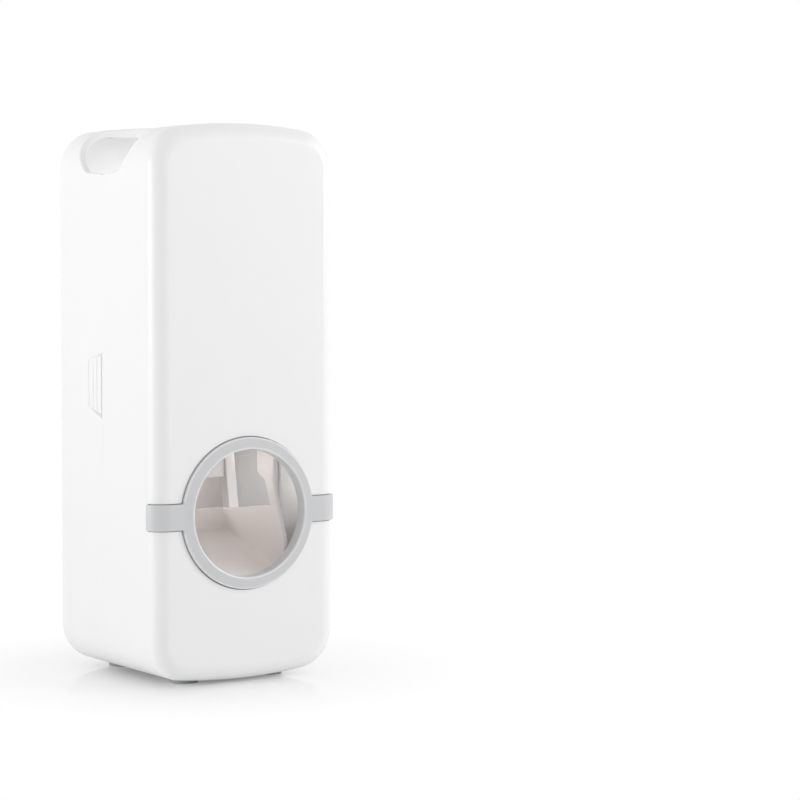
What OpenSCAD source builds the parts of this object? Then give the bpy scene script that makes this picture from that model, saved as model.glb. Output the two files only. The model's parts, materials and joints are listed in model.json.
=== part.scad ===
// Push-to-dispense toothpaste dispenser: a two-part housing round a spring-returned piston pump.
// A brush pushed through the round opening moves the cradle to the rear; the piston then drives
// paste out of the spout, and the spring brings both back while fresh paste flows in from the tube.
// The front faces -Y, Z is up, and the origin is on the standing surface under the middle.

/* [Housing] */
// Width across the side walls
body_w = 60; // [60:1:64]
// Depth from the front face to the back face
body_d = 60; // [60:1:64]
// Height of the highest point of the arched top
body_top = 158; // [154:1:162]
// Height of the lowest point of the arched bottom
body_bottom = 0.8; // [0.7:0.1:1.2]
// Fall of the arched top from the middle to the sides
top_fall = 3; // [2.5:0.5:5]
// Rise of the arched bottom from the middle to the sides
bottom_rise = 2.6; // [2:0.1:2.8]
// Corner radius of the front outline
corner_r = 11; // [10:0.5:13]
// Rounding between the side walls and the front face
edge_r = 5; // [4:0.5:5.5]
// Rounding between the side walls and the back face
back_edge_r = 6.5; // [5:0.5:7]
// Wall thickness of both halves
wall = 2; // [1.6:0.1:2]
// Gap between the front cover and the rear housing
parting_gap = 0.1; // [0.05:0.05:0.2]

/* [Top slot and grip recess] */
// Radius of the round cut across the top
slot_r = 16.4; // [14:0.2:17]
// Height of the slot's floor in the side walls
slot_floor = 144.4; // [144:0.2:148]
// Depth of the grip recess where the cover's edge shows
grip_depth = 1.6; // [1:0.1:1.8]
// Length of the grip recess towards the back
grip_length = 8.5; // [5:0.5:8.5]
// Lower and upper ends of the grip recess at the parting line
grip_z = [74.3, 93.1];

/* [Brush opening and trim] */
// Height of the centre of the brush opening
ring_z = 48.4; // [47:0.1:50]
// Outer radius of the trim ring
ring_r = 21.5; // [21:0.1:22]
// Radius of the opening through the trim ring
opening_r = 18; // [17.5:0.1:18.6]
// Height of the strap
strap_h = 7.3; // [6:0.1:8]
// How far the trim stands proud of the housing
trim_proud = 0.9; // [0.5:0.1:1]
// How far the lip round the opening stands proud
lip_proud = 1.6; // [1:0.1:2]
// Where the strap ends on the side walls
strap_end_y = -26.1; // [-27:0.1:-26]
// Depth of the recess that the trim sits in
trim_recess = 1; // [0.8:0.1:1.1]
// Gap round the trim in its recess
trim_gap = 0.25; // [0.1:0.05:0.3]

/* [Cradle and slider] */
// How far the cradle is pushed to the rear
stroke = 10; // [8:0.5:10]
// Distance from the middle to the inner face of a cheek
cheek_x = 14; // [13.5:0.1:14]
// Thickness of the cheeks and the arms
cheek_t = 1.5; // [1.2:0.1:1.5]
// Front face of the cradle's back wall
push_wall_y = 7; // [5:0.5:7]
// Height of the cradle's floor at its back wall
floor_back_z = 40; // [39:0.5:41]
// Slope of the cradle's floor, down to the front
floor_slope = 15.7; // [14:0.1:16]

/* [Pump] */
// Height of the pump's axis
pump_z = 79; // [79:0.5:80]
// Radius of the pump's bore
bore_r = 8; // [7:0.1:8]
// Mean radius of the return spring
spring_r = 11.3; // [11.2:0.1:11.4]
// Wire diameter of the return spring
wire_d = 0.9; // [0.7:0.1:1]
// Number of curls of the return spring
curls = 6.5; // [5:0.5:7]

/* [Tube socket and outlet] */
// Radius of the seal that grips the tube's neck
neck_r = 6.5; // [6:0.1:7]
// Length of the seal's grip on the neck
neck_length = 8.8; // [7:0.1:9]
// Height of the spout's tip
spout_tip_z = 49.1; // [48:0.1:52]
// Width of the spout
spout_w = 3.3; // [3:0.1:4]
// Forward lean of the spout
spout_lean = 9; // [0:1:10]

/* [Hidden] */
$fn = 64;

// Colours
white = "white";
trim_grey = [0.79, 0.79, 0.8];
warm_white = [0.9, 0.87, 0.84];
clear_grey = [0.82, 0.84, 0.86];
rubber_grey = [0.5, 0.5, 0.52];
steel = [0.72, 0.72, 0.74];
foam = [0.93, 0.93, 0.9];

half_w = body_w / 2;
half_d = body_d / 2;
eps = 0.01;
far = 100;

// Housing form
corner_steps = 8;
top_steps = 12;
bottom_steps = 8;
edge_steps = 6;
corner_x = half_w - corner_r;
// Radius of an arch of the given sagitta over the full width
function arch_r(sagitta) = (half_w * half_w + sagitta * sagitta) / (2 * sagitta);
top_r = arch_r(top_fall);
bottom_r = arch_r(bottom_rise);
top_centre_z = body_top - top_r;
bottom_centre_z = body_bottom + bottom_r;
top_half_angle = asin(corner_x / (top_r - corner_r));
bottom_half_angle = asin(corner_x / (bottom_r - corner_r));
top_corner_z = top_centre_z + (top_r - corner_r) * cos(top_half_angle);
bottom_corner_z = bottom_centre_z - (bottom_r - corner_r) * cos(bottom_half_angle);

function on_arc(cx, cz, r, angle) = [cx + r * cos(angle), cz + r * sin(angle)];
function steps_between(a, b, n) = [for (i = [0 : n]) a + (b - a) * i / n];

// Front outline in X and Z, drawn in by the inset all round, anticlockwise seen from the front
function outline(inset) = concat(
    [for (a = steps_between(0, 90 - top_half_angle, corner_steps))
        on_arc(corner_x, top_corner_z, corner_r - inset, a)],
    [for (i = [1 : top_steps - 1])
        on_arc(0, top_centre_z, top_r - inset, 90 - top_half_angle + 2 * top_half_angle * i / top_steps)],
    [for (a = steps_between(90 + top_half_angle, 180, corner_steps))
        on_arc(-corner_x, top_corner_z, corner_r - inset, a)],
    [for (a = steps_between(180, 270 - bottom_half_angle, corner_steps))
        on_arc(-corner_x, bottom_corner_z, corner_r - inset, a)],
    [for (i = [1 : bottom_steps - 1])
        on_arc(0, bottom_centre_z, bottom_r - inset,
               270 - bottom_half_angle + 2 * bottom_half_angle * i / bottom_steps)],
    [for (a = steps_between(270 + bottom_half_angle, 360, corner_steps))
        on_arc(corner_x, bottom_corner_z, corner_r - inset, a)]
);

function ring_at(y, inset) = [for (p = outline(inset)) [p[0], y, p[1]]];

// Closed skin over a list of rings with equal counts, capped at both ends
module skin(rings) {
    n = len(rings[0]);
    m = len(rings);
    sides = [for (j = [0 : m - 2]) for (i = [0 : n - 1]) each [
        [j * n + i, (j + 1) * n + (i + 1) % n, j * n + (i + 1) % n],
        [j * n + i, (j + 1) * n + i, (j + 1) * n + (i + 1) % n]
    ]];
    start_cap = [[for (i = [0 : n - 1]) i]];
    end_cap = [[for (i = [n - 1 : -1 : 0]) (m - 1) * n + i]];
    polyhedron([for (r = rings) each r], concat(start_cap, sides, end_cap));
}

// Hollow half of the housing behind the parting plane, open towards the front. A lipped half has a
// lip inside its rim that reaches into the other half.
module half_shell(r, lipped) {
    rim_y = parting_gap / 2;
    lip_root_y = 3;
    inner_r = r - wall;
    outer = [for (a = steps_between(90, 0, edge_steps))
        ring_at(half_d - r + r * sin(a), r * (1 - cos(a)))];
    plain_rim = [ring_at(rim_y, 0), ring_at(rim_y, wall)];
    lipped_rim = [
        ring_at(rim_y, 0), ring_at(rim_y, lip_inset[0]), ring_at(-lip_reach, lip_inset[0]),
        ring_at(-lip_reach, lip_inset[1]), ring_at(lip_root_y, lip_inset[1]), ring_at(lip_root_y, wall)
    ];
    inner = [for (a = steps_between(0, 90, edge_steps))
        ring_at(half_d - r + inner_r * sin(a), wall + inner_r * (1 - cos(a)))];
    skin(concat(outer, lipped ? lipped_rim : plain_rim, inner));
}

// Shape of the slot across the top, seen from the side
module slot_outline() {
    vee = [-0.6, slot_floor - 0.6];
    intersection() {
        translate([0, body_top]) circle(slot_r, $fn = 96);
        polygon([[-8, slot_floor], vee, [8, slot_floor], [far, slot_floor], [far, 200], [-far, 200],
                 [-far, slot_floor]]);
    }
}

module top_slot() {
    rotate([90, 0, 90]) linear_extrude(body_w + 10, center = true) slot_outline();
}

// A box from its low corner to its high corner
module block(low, high) {
    translate(low) cube(high - low);
}

// The same shape on the right and on the left
module both_sides() {
    children();
    mirror([1, 0, 0]) children();
}

// A cylinder along Y from one depth to another
module rod_y(x, z, r, y0, y1) {
    translate([x, y0, z]) rotate([-90, 0, 0]) cylinder(h = y1 - y0, r = r);
}

// A cylinder along X from one place to another
module rod_x(y, z, r, x0, x1) {
    translate([x0, y, z]) rotate([0, 90, 0]) cylinder(h = x1 - x0, r = r);
}

// An outline in Y and Z, given a thickness along X
module plate_x(x0, x1) {
    translate([x0, 0, 0]) rotate([90, 0, 90]) linear_extrude(x1 - x0) children();
}

// Tongues that hold the cover on the housing
tongue_z = [28, 118];
tongue_half_h = 4;
tongue_x = [half_w - wall - 1.6, half_w - wall - 0.15];
tongue_reach = 5;
rib_t = 1.2;
lip_reach = 2;
lip_inset = [wall + 0.15, wall + 1.15];

// Feet and screw places
foot_x = 14;
foot_y = 18;
foot_r = 4;
foot_top = 1.95;
screw_x = 15.5;
screw_z = [21, 88];
pilot_r = 1.2;
shank_r = 1.1;
boss_front_y = 26;

// Chassis
plate_x_in = 18.4;
plate_x_out = 20.4;
plate_front_y = -24;
back_plate_y = [24, 26];
plate_z = [68, 93];
deck_z = [93, 95.5];
deck_half_x = 26.3;
back_plate_half_x = 25;
deck_y = [-26.5, 26];
rail_half_h = 1;
rail_x = [17.2, 19.3];
groove_x_out = 19.6;
stop_z = [70, 72];

// Pump along Y
cyl_wall = 1.5;
cyl_r = bore_r + cyl_wall;
beam_y = [-26.8, -24];
beam_back_pushed = beam_y[1] + stroke;
cap_y = [beam_back_pushed + 0.4, beam_back_pushed + 1.8];
chamber_end_y = 4;
cyl_back_y = 6;
seat_y = [-4, -2.5];
seat_r = 12.4;
rod_r = 2;
piston_y = [cap_y[1] + 1, cap_y[1] + 5];
rod_end_y = piston_y[1] - 1;
saddle_y = [-2.5, 6];
saddle_x = 16;
saddle_z = 88;
port_y = 2.2;
inlet_r = 2.5;
valve_pocket_r = 4.2;
valve_flange_z = [91.9, 93];

// Outlet
duct_x = [-12, -7];
duct_mid_x = (duct_x[0] + duct_x[1]) / 2;
duct_z = [58, 66];
duct_mid_z = (duct_z[0] + duct_z[1]) / 2;
duct_back_y = [-0.5, 5];
arm_y = [-20, -16];
arm_mid_y = (arm_y[0] + arm_y[1]) / 2;
passage_r = 1.4;
spout_front_y = -22.5;
spout_t = 3.6;
spout_rise = duct_z[1] - spout_tip_z;

// Tube socket
collar_r = 11;
collar_bore_r = 8.05;
collar_z = [deck_z[1], 106];
flange_r = 16;
flange_t = 2;
seal_floor_z = 97.6;
seal_bore_z = 98.6;
seal_top_z = seal_bore_z + neck_length;
pump_screw_x = 13.4;
pump_screw_y = 1.5;

// Wedge that is deep at the parting line and runs out towards the back
module grip_recess() {
    taper = [3.3, 2];
    hull() {
        block([half_w - grip_depth, -1, grip_z[0]], [half_w + 1, -0.3, grip_z[1]]);
        block([half_w, grip_length, grip_z[0] + taper[0]], [half_w + 1, grip_length + eps, grip_z[1] - taper[1]]);
    }
}

module foot_pocket(y) {
    both_sides() translate([foot_x, y, -1]) cylinder(h = 3, r = foot_r + 0.1);
}

module rear_housing() {
    pad_x = 26.6;
    color(white) difference() {
        union() {
            half_shell(back_edge_r, true);
            both_sides() {
                block([pad_x, 0.5, grip_z[0] - 2], [half_w - wall + 0.5, 8, grip_z[1] + 1.7]);
                for (z = screw_z) rod_y(screw_x, z, 3.5, boss_front_y, half_d - wall + 0.5);
                for (z = tongue_z) for (side = [-1, 1]) {
                    rib_mid = z + side * (tongue_half_h + 0.4 + rib_t / 2);
                    block([tongue_x[0] - 1, 0.7, rib_mid - rib_t / 2],
                          [half_w - wall + 0.5, tongue_reach + 1, rib_mid + rib_t / 2]);
                }
            }
        }
        top_slot();
        both_sides() {
            grip_recess();
            for (z = tongue_z)
                block([tongue_x[0] - 0.4, -lip_reach - 1, z - tongue_half_h - 0.3],
                      [half_w - wall + 0.1, tongue_reach + 0.5, z + tongue_half_h + 0.3]);
            for (z = screw_z) rod_y(screw_x, z, pilot_r, boss_front_y - 1, half_d - 1);
        }
        foot_pocket(foot_y);
    }
}

module front_cover() {
    color(white) difference() {
        union() {
            mirror([0, 1, 0]) half_shell(edge_r, false);
            both_sides() for (z = tongue_z) {
                block([tongue_x[0], -tongue_reach - 3, z - tongue_half_h],
                      [half_w - wall + 0.5, -parting_gap / 2, z + tongue_half_h]);
                block([tongue_x[0], -tongue_reach, z - tongue_half_h],
                      [tongue_x[1], tongue_reach, z + tongue_half_h]);
            }
        }
        top_slot();
        rod_y(0, ring_z, opening_r + 1.3, -half_d - 1, -half_d + wall + 1);
        rod_y(0, ring_z, ring_r + trim_gap, -half_d - 1, -half_d + trim_recess);
        difference() {
            strap_slab(strap_h / 2 + trim_gap, strap_end_y + trim_gap) front_plan(3);
            strap_slab(strap_h, 0) front_plan(-trim_recess);
        }
        foot_pocket(-foot_y);
    }
}

// Front half of the housing's plan at the strap, grown all round
module front_plan(grow) {
    r = edge_r + grow;
    both_sides() {
        translate([half_w - edge_r, -half_d + edge_r]) circle(r);
        translate([-eps, -half_d - grow]) square([half_w - edge_r + eps, half_d + grow]);
        translate([-eps, -half_d + edge_r]) square([half_w + grow + eps, half_d - edge_r]);
    }
}

// A plan shape made as high as the strap, as far back as the strap goes
module strap_slab(half_height, end_y) {
    intersection() {
        translate([0, 0, ring_z - half_height]) linear_extrude(2 * half_height) children();
        block([-far, -far, 0], [far, end_y, far]);
    }
}

module trim_ring() {
    front_y = -half_d - trim_proud;
    lip_y = -half_d - lip_proud;
    seat_in_y = -half_d + trim_recess - 0.05;
    lip_r = opening_r + 1;
    step = 0.3;
    chamfer = 0.4;
    color(trim_grey) difference() {
        union() {
            rod_y(0, ring_z, ring_r, front_y, seat_in_y);
            translate([0, front_y + eps, ring_z]) rotate([90, 0, 0])
                cylinder(h = lip_proud - trim_proud + eps, r1 = ring_r - step, r2 = lip_r);
            rod_y(0, ring_z, opening_r + 1.2, front_y, -half_d + wall);
            difference() {
                strap_slab(strap_h / 2, strap_end_y) front_plan(trim_proud);
                strap_slab(strap_h, 0) front_plan(0.05 - trim_recess);
            }
        }
        rod_y(0, ring_z, opening_r, lip_y - 1, 0);
        translate([0, lip_y - eps, ring_z]) rotate([-90, 0, 0])
            cylinder(h = chamfer, r1 = opening_r + chamfer, r2 = opening_r);
    }
}

module foot_pair(y) {
    color(rubber_grey) both_sides() translate([foot_x, y, 0]) cylinder(h = foot_top, r = foot_r);
}

module housing_feet() {
    foot_pair(foot_y);
}

module cover_feet() {
    foot_pair(-foot_y);
}

// Tape as thick as the lip stands proud, which keeps the origin under the middle
module adhesive_pads() {
    back_y = half_d + lip_proud;
    pad_z = [36, 124];
    pad_x = [6, 20];
    round_r = 3;
    color(foam) both_sides() {
        for (x = [pad_x[0] + round_r, pad_x[1] - round_r]) for (z = [pad_z[0] + round_r, pad_z[1] - round_r])
            rod_y(x, z, round_r, half_d, back_y);
        block([pad_x[0] + round_r, half_d, pad_z[0]], [pad_x[1] - round_r, back_y, pad_z[1]]);
        block([pad_x[0], half_d, pad_z[0] + round_r], [pad_x[1], back_y, pad_z[1] - round_r]);
    }
}

// Frame that carries the pump, the slider and the tube socket
module chassis() {
    plate_bottom = 14;
    deck_round = 4;
    color(warm_white) difference() {
        union() {
            block([-back_plate_half_x, back_plate_y[0], plate_bottom],
                  [back_plate_half_x, back_plate_y[1], deck_z[1]]);
            both_sides() {
                block([plate_x_in, plate_front_y, plate_z[0]],
                      [plate_x_out, back_plate_y[0] + 0.5, plate_z[1] + 0.5]);
                block([17.4, -11.2, stop_z[0]], [plate_x_in + 0.5, -9.2, stop_z[1]]);
            }
            translate([0, 0, deck_z[0]]) linear_extrude(deck_z[1] - deck_z[0]) both_sides() {
                for (y = [deck_y[0] + deck_round, deck_y[1] - deck_round])
                    translate([deck_half_x - deck_round, y]) circle(deck_round);
                translate([-eps, deck_y[0]]) square([deck_half_x - deck_round + eps, deck_y[1] - deck_y[0]]);
                translate([-eps, deck_y[0] + deck_round])
                    square([deck_half_x + eps, deck_y[1] - deck_y[0] - 2 * deck_round]);
            }
        }
        translate([0, 0, deck_z[0] - 1]) cylinder(h = 4, r = 5.5);
        both_sides() {
            translate([pump_screw_x, pump_screw_y, deck_z[0] - 1]) cylinder(h = 4, r = 1.4);
            for (z = screw_z) rod_y(screw_x, z, 1.4, back_plate_y[0] - 1, back_plate_y[1] + 1);
            block([plate_x_in - 1, plate_front_y - 1, pump_z - rail_half_h - 0.15],
                  [groove_x_out, 20, pump_z + rail_half_h + 0.15]);
        }
    }
}

// A pan-head screw standing on its point at the origin, head up
module screw(length, shank, head_r, head_h) {
    cylinder(h = length + eps, r = shank);
    translate([0, 0, length]) difference() {
        cylinder(h = head_h, r = head_r);
        for (turn = [0, 90]) rotate(turn)
            translate([-head_r * 0.6, -head_r * 0.12, head_h * 0.5]) cube([head_r * 1.2, head_r * 0.24, head_h]);
    }
}

module chassis_screws() {
    reach = 4.6;
    color(steel) both_sides() for (z = screw_z)
        translate([screw_x, back_plate_y[0] + reach, z]) rotate([90, 0, 0]) screw(reach, shank_r, 2.6, 1.6);
}

module pump_screws() {
    reach = 8;
    color(steel) both_sides()
        translate([pump_screw_x, pump_screw_y, deck_z[1] + flange_t - reach]) screw(reach, shank_r, 2, 1.5);
}

module cradle_screws() {
    color(steel) both_sides()
        translate([cheek_x + 4.3, -16.3, pump_z]) rotate([0, -90, 0]) screw(4.3, 0.9, 2, 1.1);
}

module pump_cylinder() {
    color(warm_white) difference() {
        union() {
            rod_y(0, pump_z, cyl_r, cap_y[1], cyl_back_y);
            rod_y(0, pump_z, seat_r, seat_y[0], seat_y[1]);
            block([-7, saddle_y[0], pump_z], [7, saddle_y[1], saddle_z + 0.5]);
            block([-saddle_x, saddle_y[0], saddle_z], [saddle_x, saddle_y[1], deck_z[0]]);
            block([duct_x[0], duct_back_y[0], duct_z[1]], [duct_x[1], duct_back_y[1], pump_z]);
        }
        rod_y(0, pump_z, bore_r, cap_y[1] - 1, chamber_end_y);
        translate([0, 0, pump_z + bore_r - 3]) cylinder(h = 10, r = inlet_r);
        translate([0, 0, saddle_z + 0.3]) cylinder(h = 5, r = 3);
        translate([0, 0, valve_flange_z[0] - 0.1]) cylinder(h = 5, r = valve_pocket_r);
        rod_x(port_y, pump_z - 3, passage_r, duct_mid_x, -bore_r + 2);
        translate([duct_mid_x, port_y, duct_z[1] - 1]) cylinder(h = pump_z - 3 - duct_z[1] + 1, r = passage_r);
        translate([duct_mid_x, port_y, duct_z[1] - 1]) cylinder(h = 2.1, r = 2.2);
        both_sides() translate([pump_screw_x, pump_screw_y, saddle_z - 1]) cylinder(h = 10, r = pilot_r);
    }
}

module cylinder_cap() {
    color(warm_white) difference() {
        union() {
            rod_y(0, pump_z, cyl_r, cap_y[0], cap_y[1]);
            rod_y(0, pump_z, bore_r - 0.05, cap_y[1] - eps, cap_y[1] + 0.7);
        }
        rod_y(0, pump_z, rod_r + 0.1, cap_y[0] - 1, cap_y[1] + 2);
    }
}

// Duckbill valve with its flange up and its bill down, open at the top
module duckbill(flange, flange_h, body, drop) {
    bill = 0.4 * body;
    lining = 0.5;
    difference() {
        union() {
            cylinder(h = flange_h, r = flange);
            translate([0, 0, -drop]) cylinder(h = drop + eps, r1 = bill, r2 = body);
        }
        translate([0, 0, -drop + lining]) cylinder(h = drop, r1 = 0.1, r2 = body - lining);
        translate([0, 0, -eps]) cylinder(h = flange_h + 1, r = body - lining);
    }
}

module inlet_valve() {
    color(rubber_grey) translate([0, 0, valve_flange_z[0]]) duckbill(4.1, 1, 2.3, 3.2);
}

module outlet_valve() {
    color(rubber_grey) translate([duct_mid_x, port_y, duct_z[1]]) duckbill(2.15, 1, 1.7, 2.4);
}

module tube_socket() {
    color(clear_grey) difference() {
        union() {
            translate([0, 0, deck_z[1]]) cylinder(h = flange_t, r = flange_r);
            translate([0, 0, collar_z[0]]) cylinder(h = collar_z[1] - collar_z[0], r = collar_r);
            translate([0, 0, deck_z[0] + 0.05]) cylinder(h = deck_z[1] - deck_z[0], r = 5.3);
        }
        translate([0, 0, deck_z[0] - 1]) cylinder(h = 10, r = inlet_r);
        translate([0, 0, seal_floor_z - 0.05]) cylinder(h = 20, r = collar_bore_r);
        both_sides() translate([pump_screw_x, pump_screw_y, deck_z[1] - 1]) cylinder(h = 4, r = 1.4);
    }
}

module neck_seal() {
    color(rubber_grey) difference() {
        union() {
            translate([0, 0, seal_floor_z]) cylinder(h = collar_z[1] - seal_floor_z + eps, r = collar_bore_r - 0.05);
            translate([0, 0, collar_z[1]]) cylinder(h = seal_top_z - collar_z[1], r = collar_r - 0.6);
        }
        translate([0, 0, seal_floor_z - 1]) cylinder(h = 5, r = inlet_r);
        translate([0, 0, seal_bore_z]) cylinder(h = neck_length + 1, r = neck_r);
    }
}

module outlet_duct() {
    color(warm_white) difference() {
        union() {
            block([duct_x[0], arm_y[0], duct_z[0]], [duct_x[1], duct_back_y[1], duct_z[1]]);
            block([duct_x[0], arm_y[0], duct_z[0]], [-spout_w / 2, arm_y[1], duct_z[1]]);
        }
        translate([duct_mid_x, port_y, duct_mid_z]) cylinder(h = 10, r = passage_r);
        translate([duct_mid_x, port_y, duct_z[1] - 2.8]) cylinder(h = 10, r = 1.9);
        rod_y(duct_mid_x, duct_mid_z, passage_r, arm_mid_y, port_y);
        rod_x(arm_mid_y, duct_mid_z, passage_r, duct_mid_x, 0);
    }
}

module outlet_spout() {
    nozzle_r = 1;
    back = tan(spout_lean) * spout_rise;
    color(warm_white) difference() {
        plate_x(-spout_w / 2, spout_w / 2) polygon([
            [spout_front_y, spout_tip_z], [spout_front_y + spout_t, spout_tip_z],
            [spout_front_y + spout_t + back, duct_z[1]], [spout_front_y + back, duct_z[1]]
        ]);
        translate([0, spout_front_y + spout_t / 2, spout_tip_z]) rotate([-spout_lean, 0, 0])
            translate([0, 0, -1]) cylinder(h = duct_mid_z - spout_tip_z + 1.5, r = nozzle_r);
        rod_x(arm_mid_y - 0.3, duct_mid_z, nozzle_r, -spout_w, 0);
    }
}

function floor_top(y) = floor_back_z - tan(floor_slope) * (push_wall_y - y);

// Stirrup that the brush is pushed into: sloping floor, low cheeks, back wall and two arms
module push_cradle() {
    front_y = -26.8;
    cheek_front_y = -26.4;
    back_y = push_wall_y + 1.8;
    floor_t = 1.6;
    wall_top = 46;
    cheek_top = 49;
    arm_root = 56;
    arm_top = 83;
    color(warm_white) difference() {
        union() {
            plate_x(-cheek_x - cheek_t, cheek_x + cheek_t) polygon([
                [front_y, floor_top(front_y) - floor_t], [back_y, floor_top(back_y) - floor_t],
                [back_y, wall_top], [push_wall_y, wall_top], [push_wall_y, floor_back_z],
                [front_y, floor_top(front_y)]
            ]);
            both_sides() plate_x(cheek_x, cheek_x + cheek_t) polygon([
                [cheek_front_y, floor_top(cheek_front_y) - floor_t],
                [back_y, floor_top(back_y) - floor_t], [back_y, wall_top], [push_wall_y, wall_top],
                [-19.5, cheek_top], [-16.3, arm_root], [-12, arm_root + 2], [-12, arm_top],
                [-20.6, arm_top], [-20.6, arm_root], [cheek_front_y, 39]
            ]);
        }
        both_sides() rod_x(-16.3, pump_z, 1.1, cheek_x - 1, cheek_x + 3);
    }
}

module slider() {
    runner_x = [cheek_x + cheek_t + 0.1, 17.2];
    runner_half_h = 5;
    runner_end_y = 8;
    color(warm_white) difference() {
        union() {
            rod_y(0, pump_z, seat_r, beam_y[0], beam_y[1]);
            block([-runner_x[1], beam_y[0], pump_z - runner_half_h],
                  [runner_x[1], beam_y[1], pump_z + runner_half_h]);
            both_sides() {
                block([runner_x[0], beam_y[0], pump_z - runner_half_h],
                      [runner_x[1], runner_end_y, pump_z + runner_half_h]);
                block([runner_x[1] - 0.5, beam_y[0], pump_z - rail_half_h],
                      [rail_x[1], runner_end_y, pump_z + rail_half_h]);
                block([runner_x[0], -9, stop_z[0] + 0.2], [18.2, -7, pump_z - runner_half_h + 0.5]);
            }
        }
        rod_y(0, pump_z, 1.55, beam_y[0] - 1, beam_y[1] + 1);
        rod_y(0, pump_z, 4, beam_y[0] - 1, beam_y[0] + 1.5);
        both_sides() rod_x(-16.3, pump_z, 0.95, cheek_x, 18.6);
    }
}

module piston_rod() {
    tip_y = beam_y[0] + 0.2;
    color(steel) difference() {
        union() {
            rod_y(0, pump_z, rod_r, beam_y[1], rod_end_y);
            rod_y(0, pump_z, 1.5, tip_y, beam_y[1] + eps);
        }
        difference() {
            rod_y(0, pump_z, 3, tip_y + 0.4, tip_y + 1.2);
            rod_y(0, pump_z, 1.1, tip_y, tip_y + 2);
        }
    }
}

module rod_clip() {
    clip_y = [beam_y[0] + 0.65, beam_y[0] + 1.35];
    color(steel) difference() {
        rod_y(0, pump_z, 3.2, clip_y[0], clip_y[1]);
        rod_y(0, pump_z, 1.15, clip_y[0] - 1, clip_y[1] + 1);
        block([-0.8, clip_y[0] - 1, pump_z - 5], [0.8, clip_y[1] + 1, pump_z]);
    }
}

seal_y = [piston_y[0] + 1.1, piston_y[0] + 2.9];
seal_root_r = 6.2;

module piston() {
    color(clear_grey) difference() {
        rod_y(0, pump_z, bore_r - 0.3, piston_y[0], piston_y[1]);
        difference() {
            rod_y(0, pump_z, bore_r + 1, seal_y[0], seal_y[1]);
            rod_y(0, pump_z, seal_root_r, seal_y[0] - 1, seal_y[1] + 1);
        }
        rod_y(0, pump_z, rod_r + 0.05, piston_y[0] - 1, rod_end_y + 0.05);
    }
}

// Cup seal whose open side faces the chamber
module piston_seal() {
    slack = 0.05;
    length = seal_y[1] - seal_y[0] - 2 * slack;
    inner = seal_root_r + slack;
    outer = bore_r - 0.03;
    color(rubber_grey) translate([0, seal_y[0] + slack, pump_z]) rotate([-90, 0, 0]) rotate_extrude()
        polygon([
            [inner, 0], [outer - 0.3, 0], [outer, length], [outer - 0.4, length],
            [(inner + outer) / 2, length * 0.45], [inner + 0.4, length], [inner, length]
        ]);
}

// Wound spring between the beam and the seat on the cylinder
spring_y = [beam_y[1] + wire_d / 2 + 0.02, seat_y[0] - wire_d / 2 - 0.02];
rings_per_curl = 8;
wire_sides = 6;
ring_count = curls * rings_per_curl;
function curl_angle(i) = 360 * i / rings_per_curl;
function wire_centre(i) = [
    spring_r * cos(curl_angle(i)),
    spring_y[0] + (spring_y[1] - spring_y[0]) * i / ring_count,
    spring_r * sin(curl_angle(i))
];
function wire_ring(i) = [for (k = [0 : wire_sides - 1])
    wire_centre(i)
    + wire_d / 2 * cos(360 * k / wire_sides) * [cos(curl_angle(i)), 0, sin(curl_angle(i))]
    + wire_d / 2 * sin(360 * k / wire_sides) * [0, 1, 0]];
spring_gap = min([for (i = [0 : ring_count]) for (j = [i + rings_per_curl / 2 : 1 : ring_count])
    norm(wire_centre(i) - wire_centre(j))]) - wire_d;
echo(least_gap_between_curls = spring_gap);

module return_spring() {
    color(steel) translate([0, 0, pump_z]) skin([for (i = [0 : ring_count]) wire_ring(i)]);
}

rear_housing();
adhesive_pads();
housing_feet();
chassis();
chassis_screws();
pump_cylinder();
cylinder_cap();
pump_screws();
inlet_valve();
tube_socket();
neck_seal();
outlet_duct();
outlet_spout();
outlet_valve();
return_spring();
front_cover();
trim_ring();
cover_feet();
push_cradle();
slider();
cradle_screws();
piston_rod();
rod_clip();
piston();
piston_seal();
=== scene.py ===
"""Finish of the push-to-dispense toothpaste dispenser, laid out as an add-on.

The packed model is the fixed frame. Each operator models one piece, or one group of like pieces, in
place around it, or gives the frame's own pieces their finish; the last one makes the studio.
The front faces -Y, Z is up, and lengths are in metres.
"""

import json
import math

import bmesh
import bpy
from mathutils import Matrix, Vector


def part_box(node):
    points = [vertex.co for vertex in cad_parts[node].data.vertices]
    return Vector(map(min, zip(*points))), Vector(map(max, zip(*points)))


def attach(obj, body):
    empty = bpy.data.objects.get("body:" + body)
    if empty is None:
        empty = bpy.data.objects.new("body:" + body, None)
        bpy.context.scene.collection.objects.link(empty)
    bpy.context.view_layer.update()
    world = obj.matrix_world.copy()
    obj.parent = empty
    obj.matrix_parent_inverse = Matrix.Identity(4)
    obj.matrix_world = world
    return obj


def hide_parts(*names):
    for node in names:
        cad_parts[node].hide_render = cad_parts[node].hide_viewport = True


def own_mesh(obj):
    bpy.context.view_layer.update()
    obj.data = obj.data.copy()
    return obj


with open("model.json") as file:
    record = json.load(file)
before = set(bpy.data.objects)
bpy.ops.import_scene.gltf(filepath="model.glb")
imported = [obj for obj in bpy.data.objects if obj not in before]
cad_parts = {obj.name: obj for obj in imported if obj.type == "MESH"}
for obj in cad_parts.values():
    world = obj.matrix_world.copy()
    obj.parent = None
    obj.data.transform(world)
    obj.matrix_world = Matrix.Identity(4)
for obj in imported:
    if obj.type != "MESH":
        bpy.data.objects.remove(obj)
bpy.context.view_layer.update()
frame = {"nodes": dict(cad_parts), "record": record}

bl_info = {
    "name": "Toothpaste Dispenser",
    "version": (1, 0, 0),
    "blender": (4, 5, 0),
    "location": "View3D > Sidebar > Dispenser",
    "description": "Models a push-to-dispense toothpaste dispenser, its finishes and its studio",
    "category": "Add Mesh",
}

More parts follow.
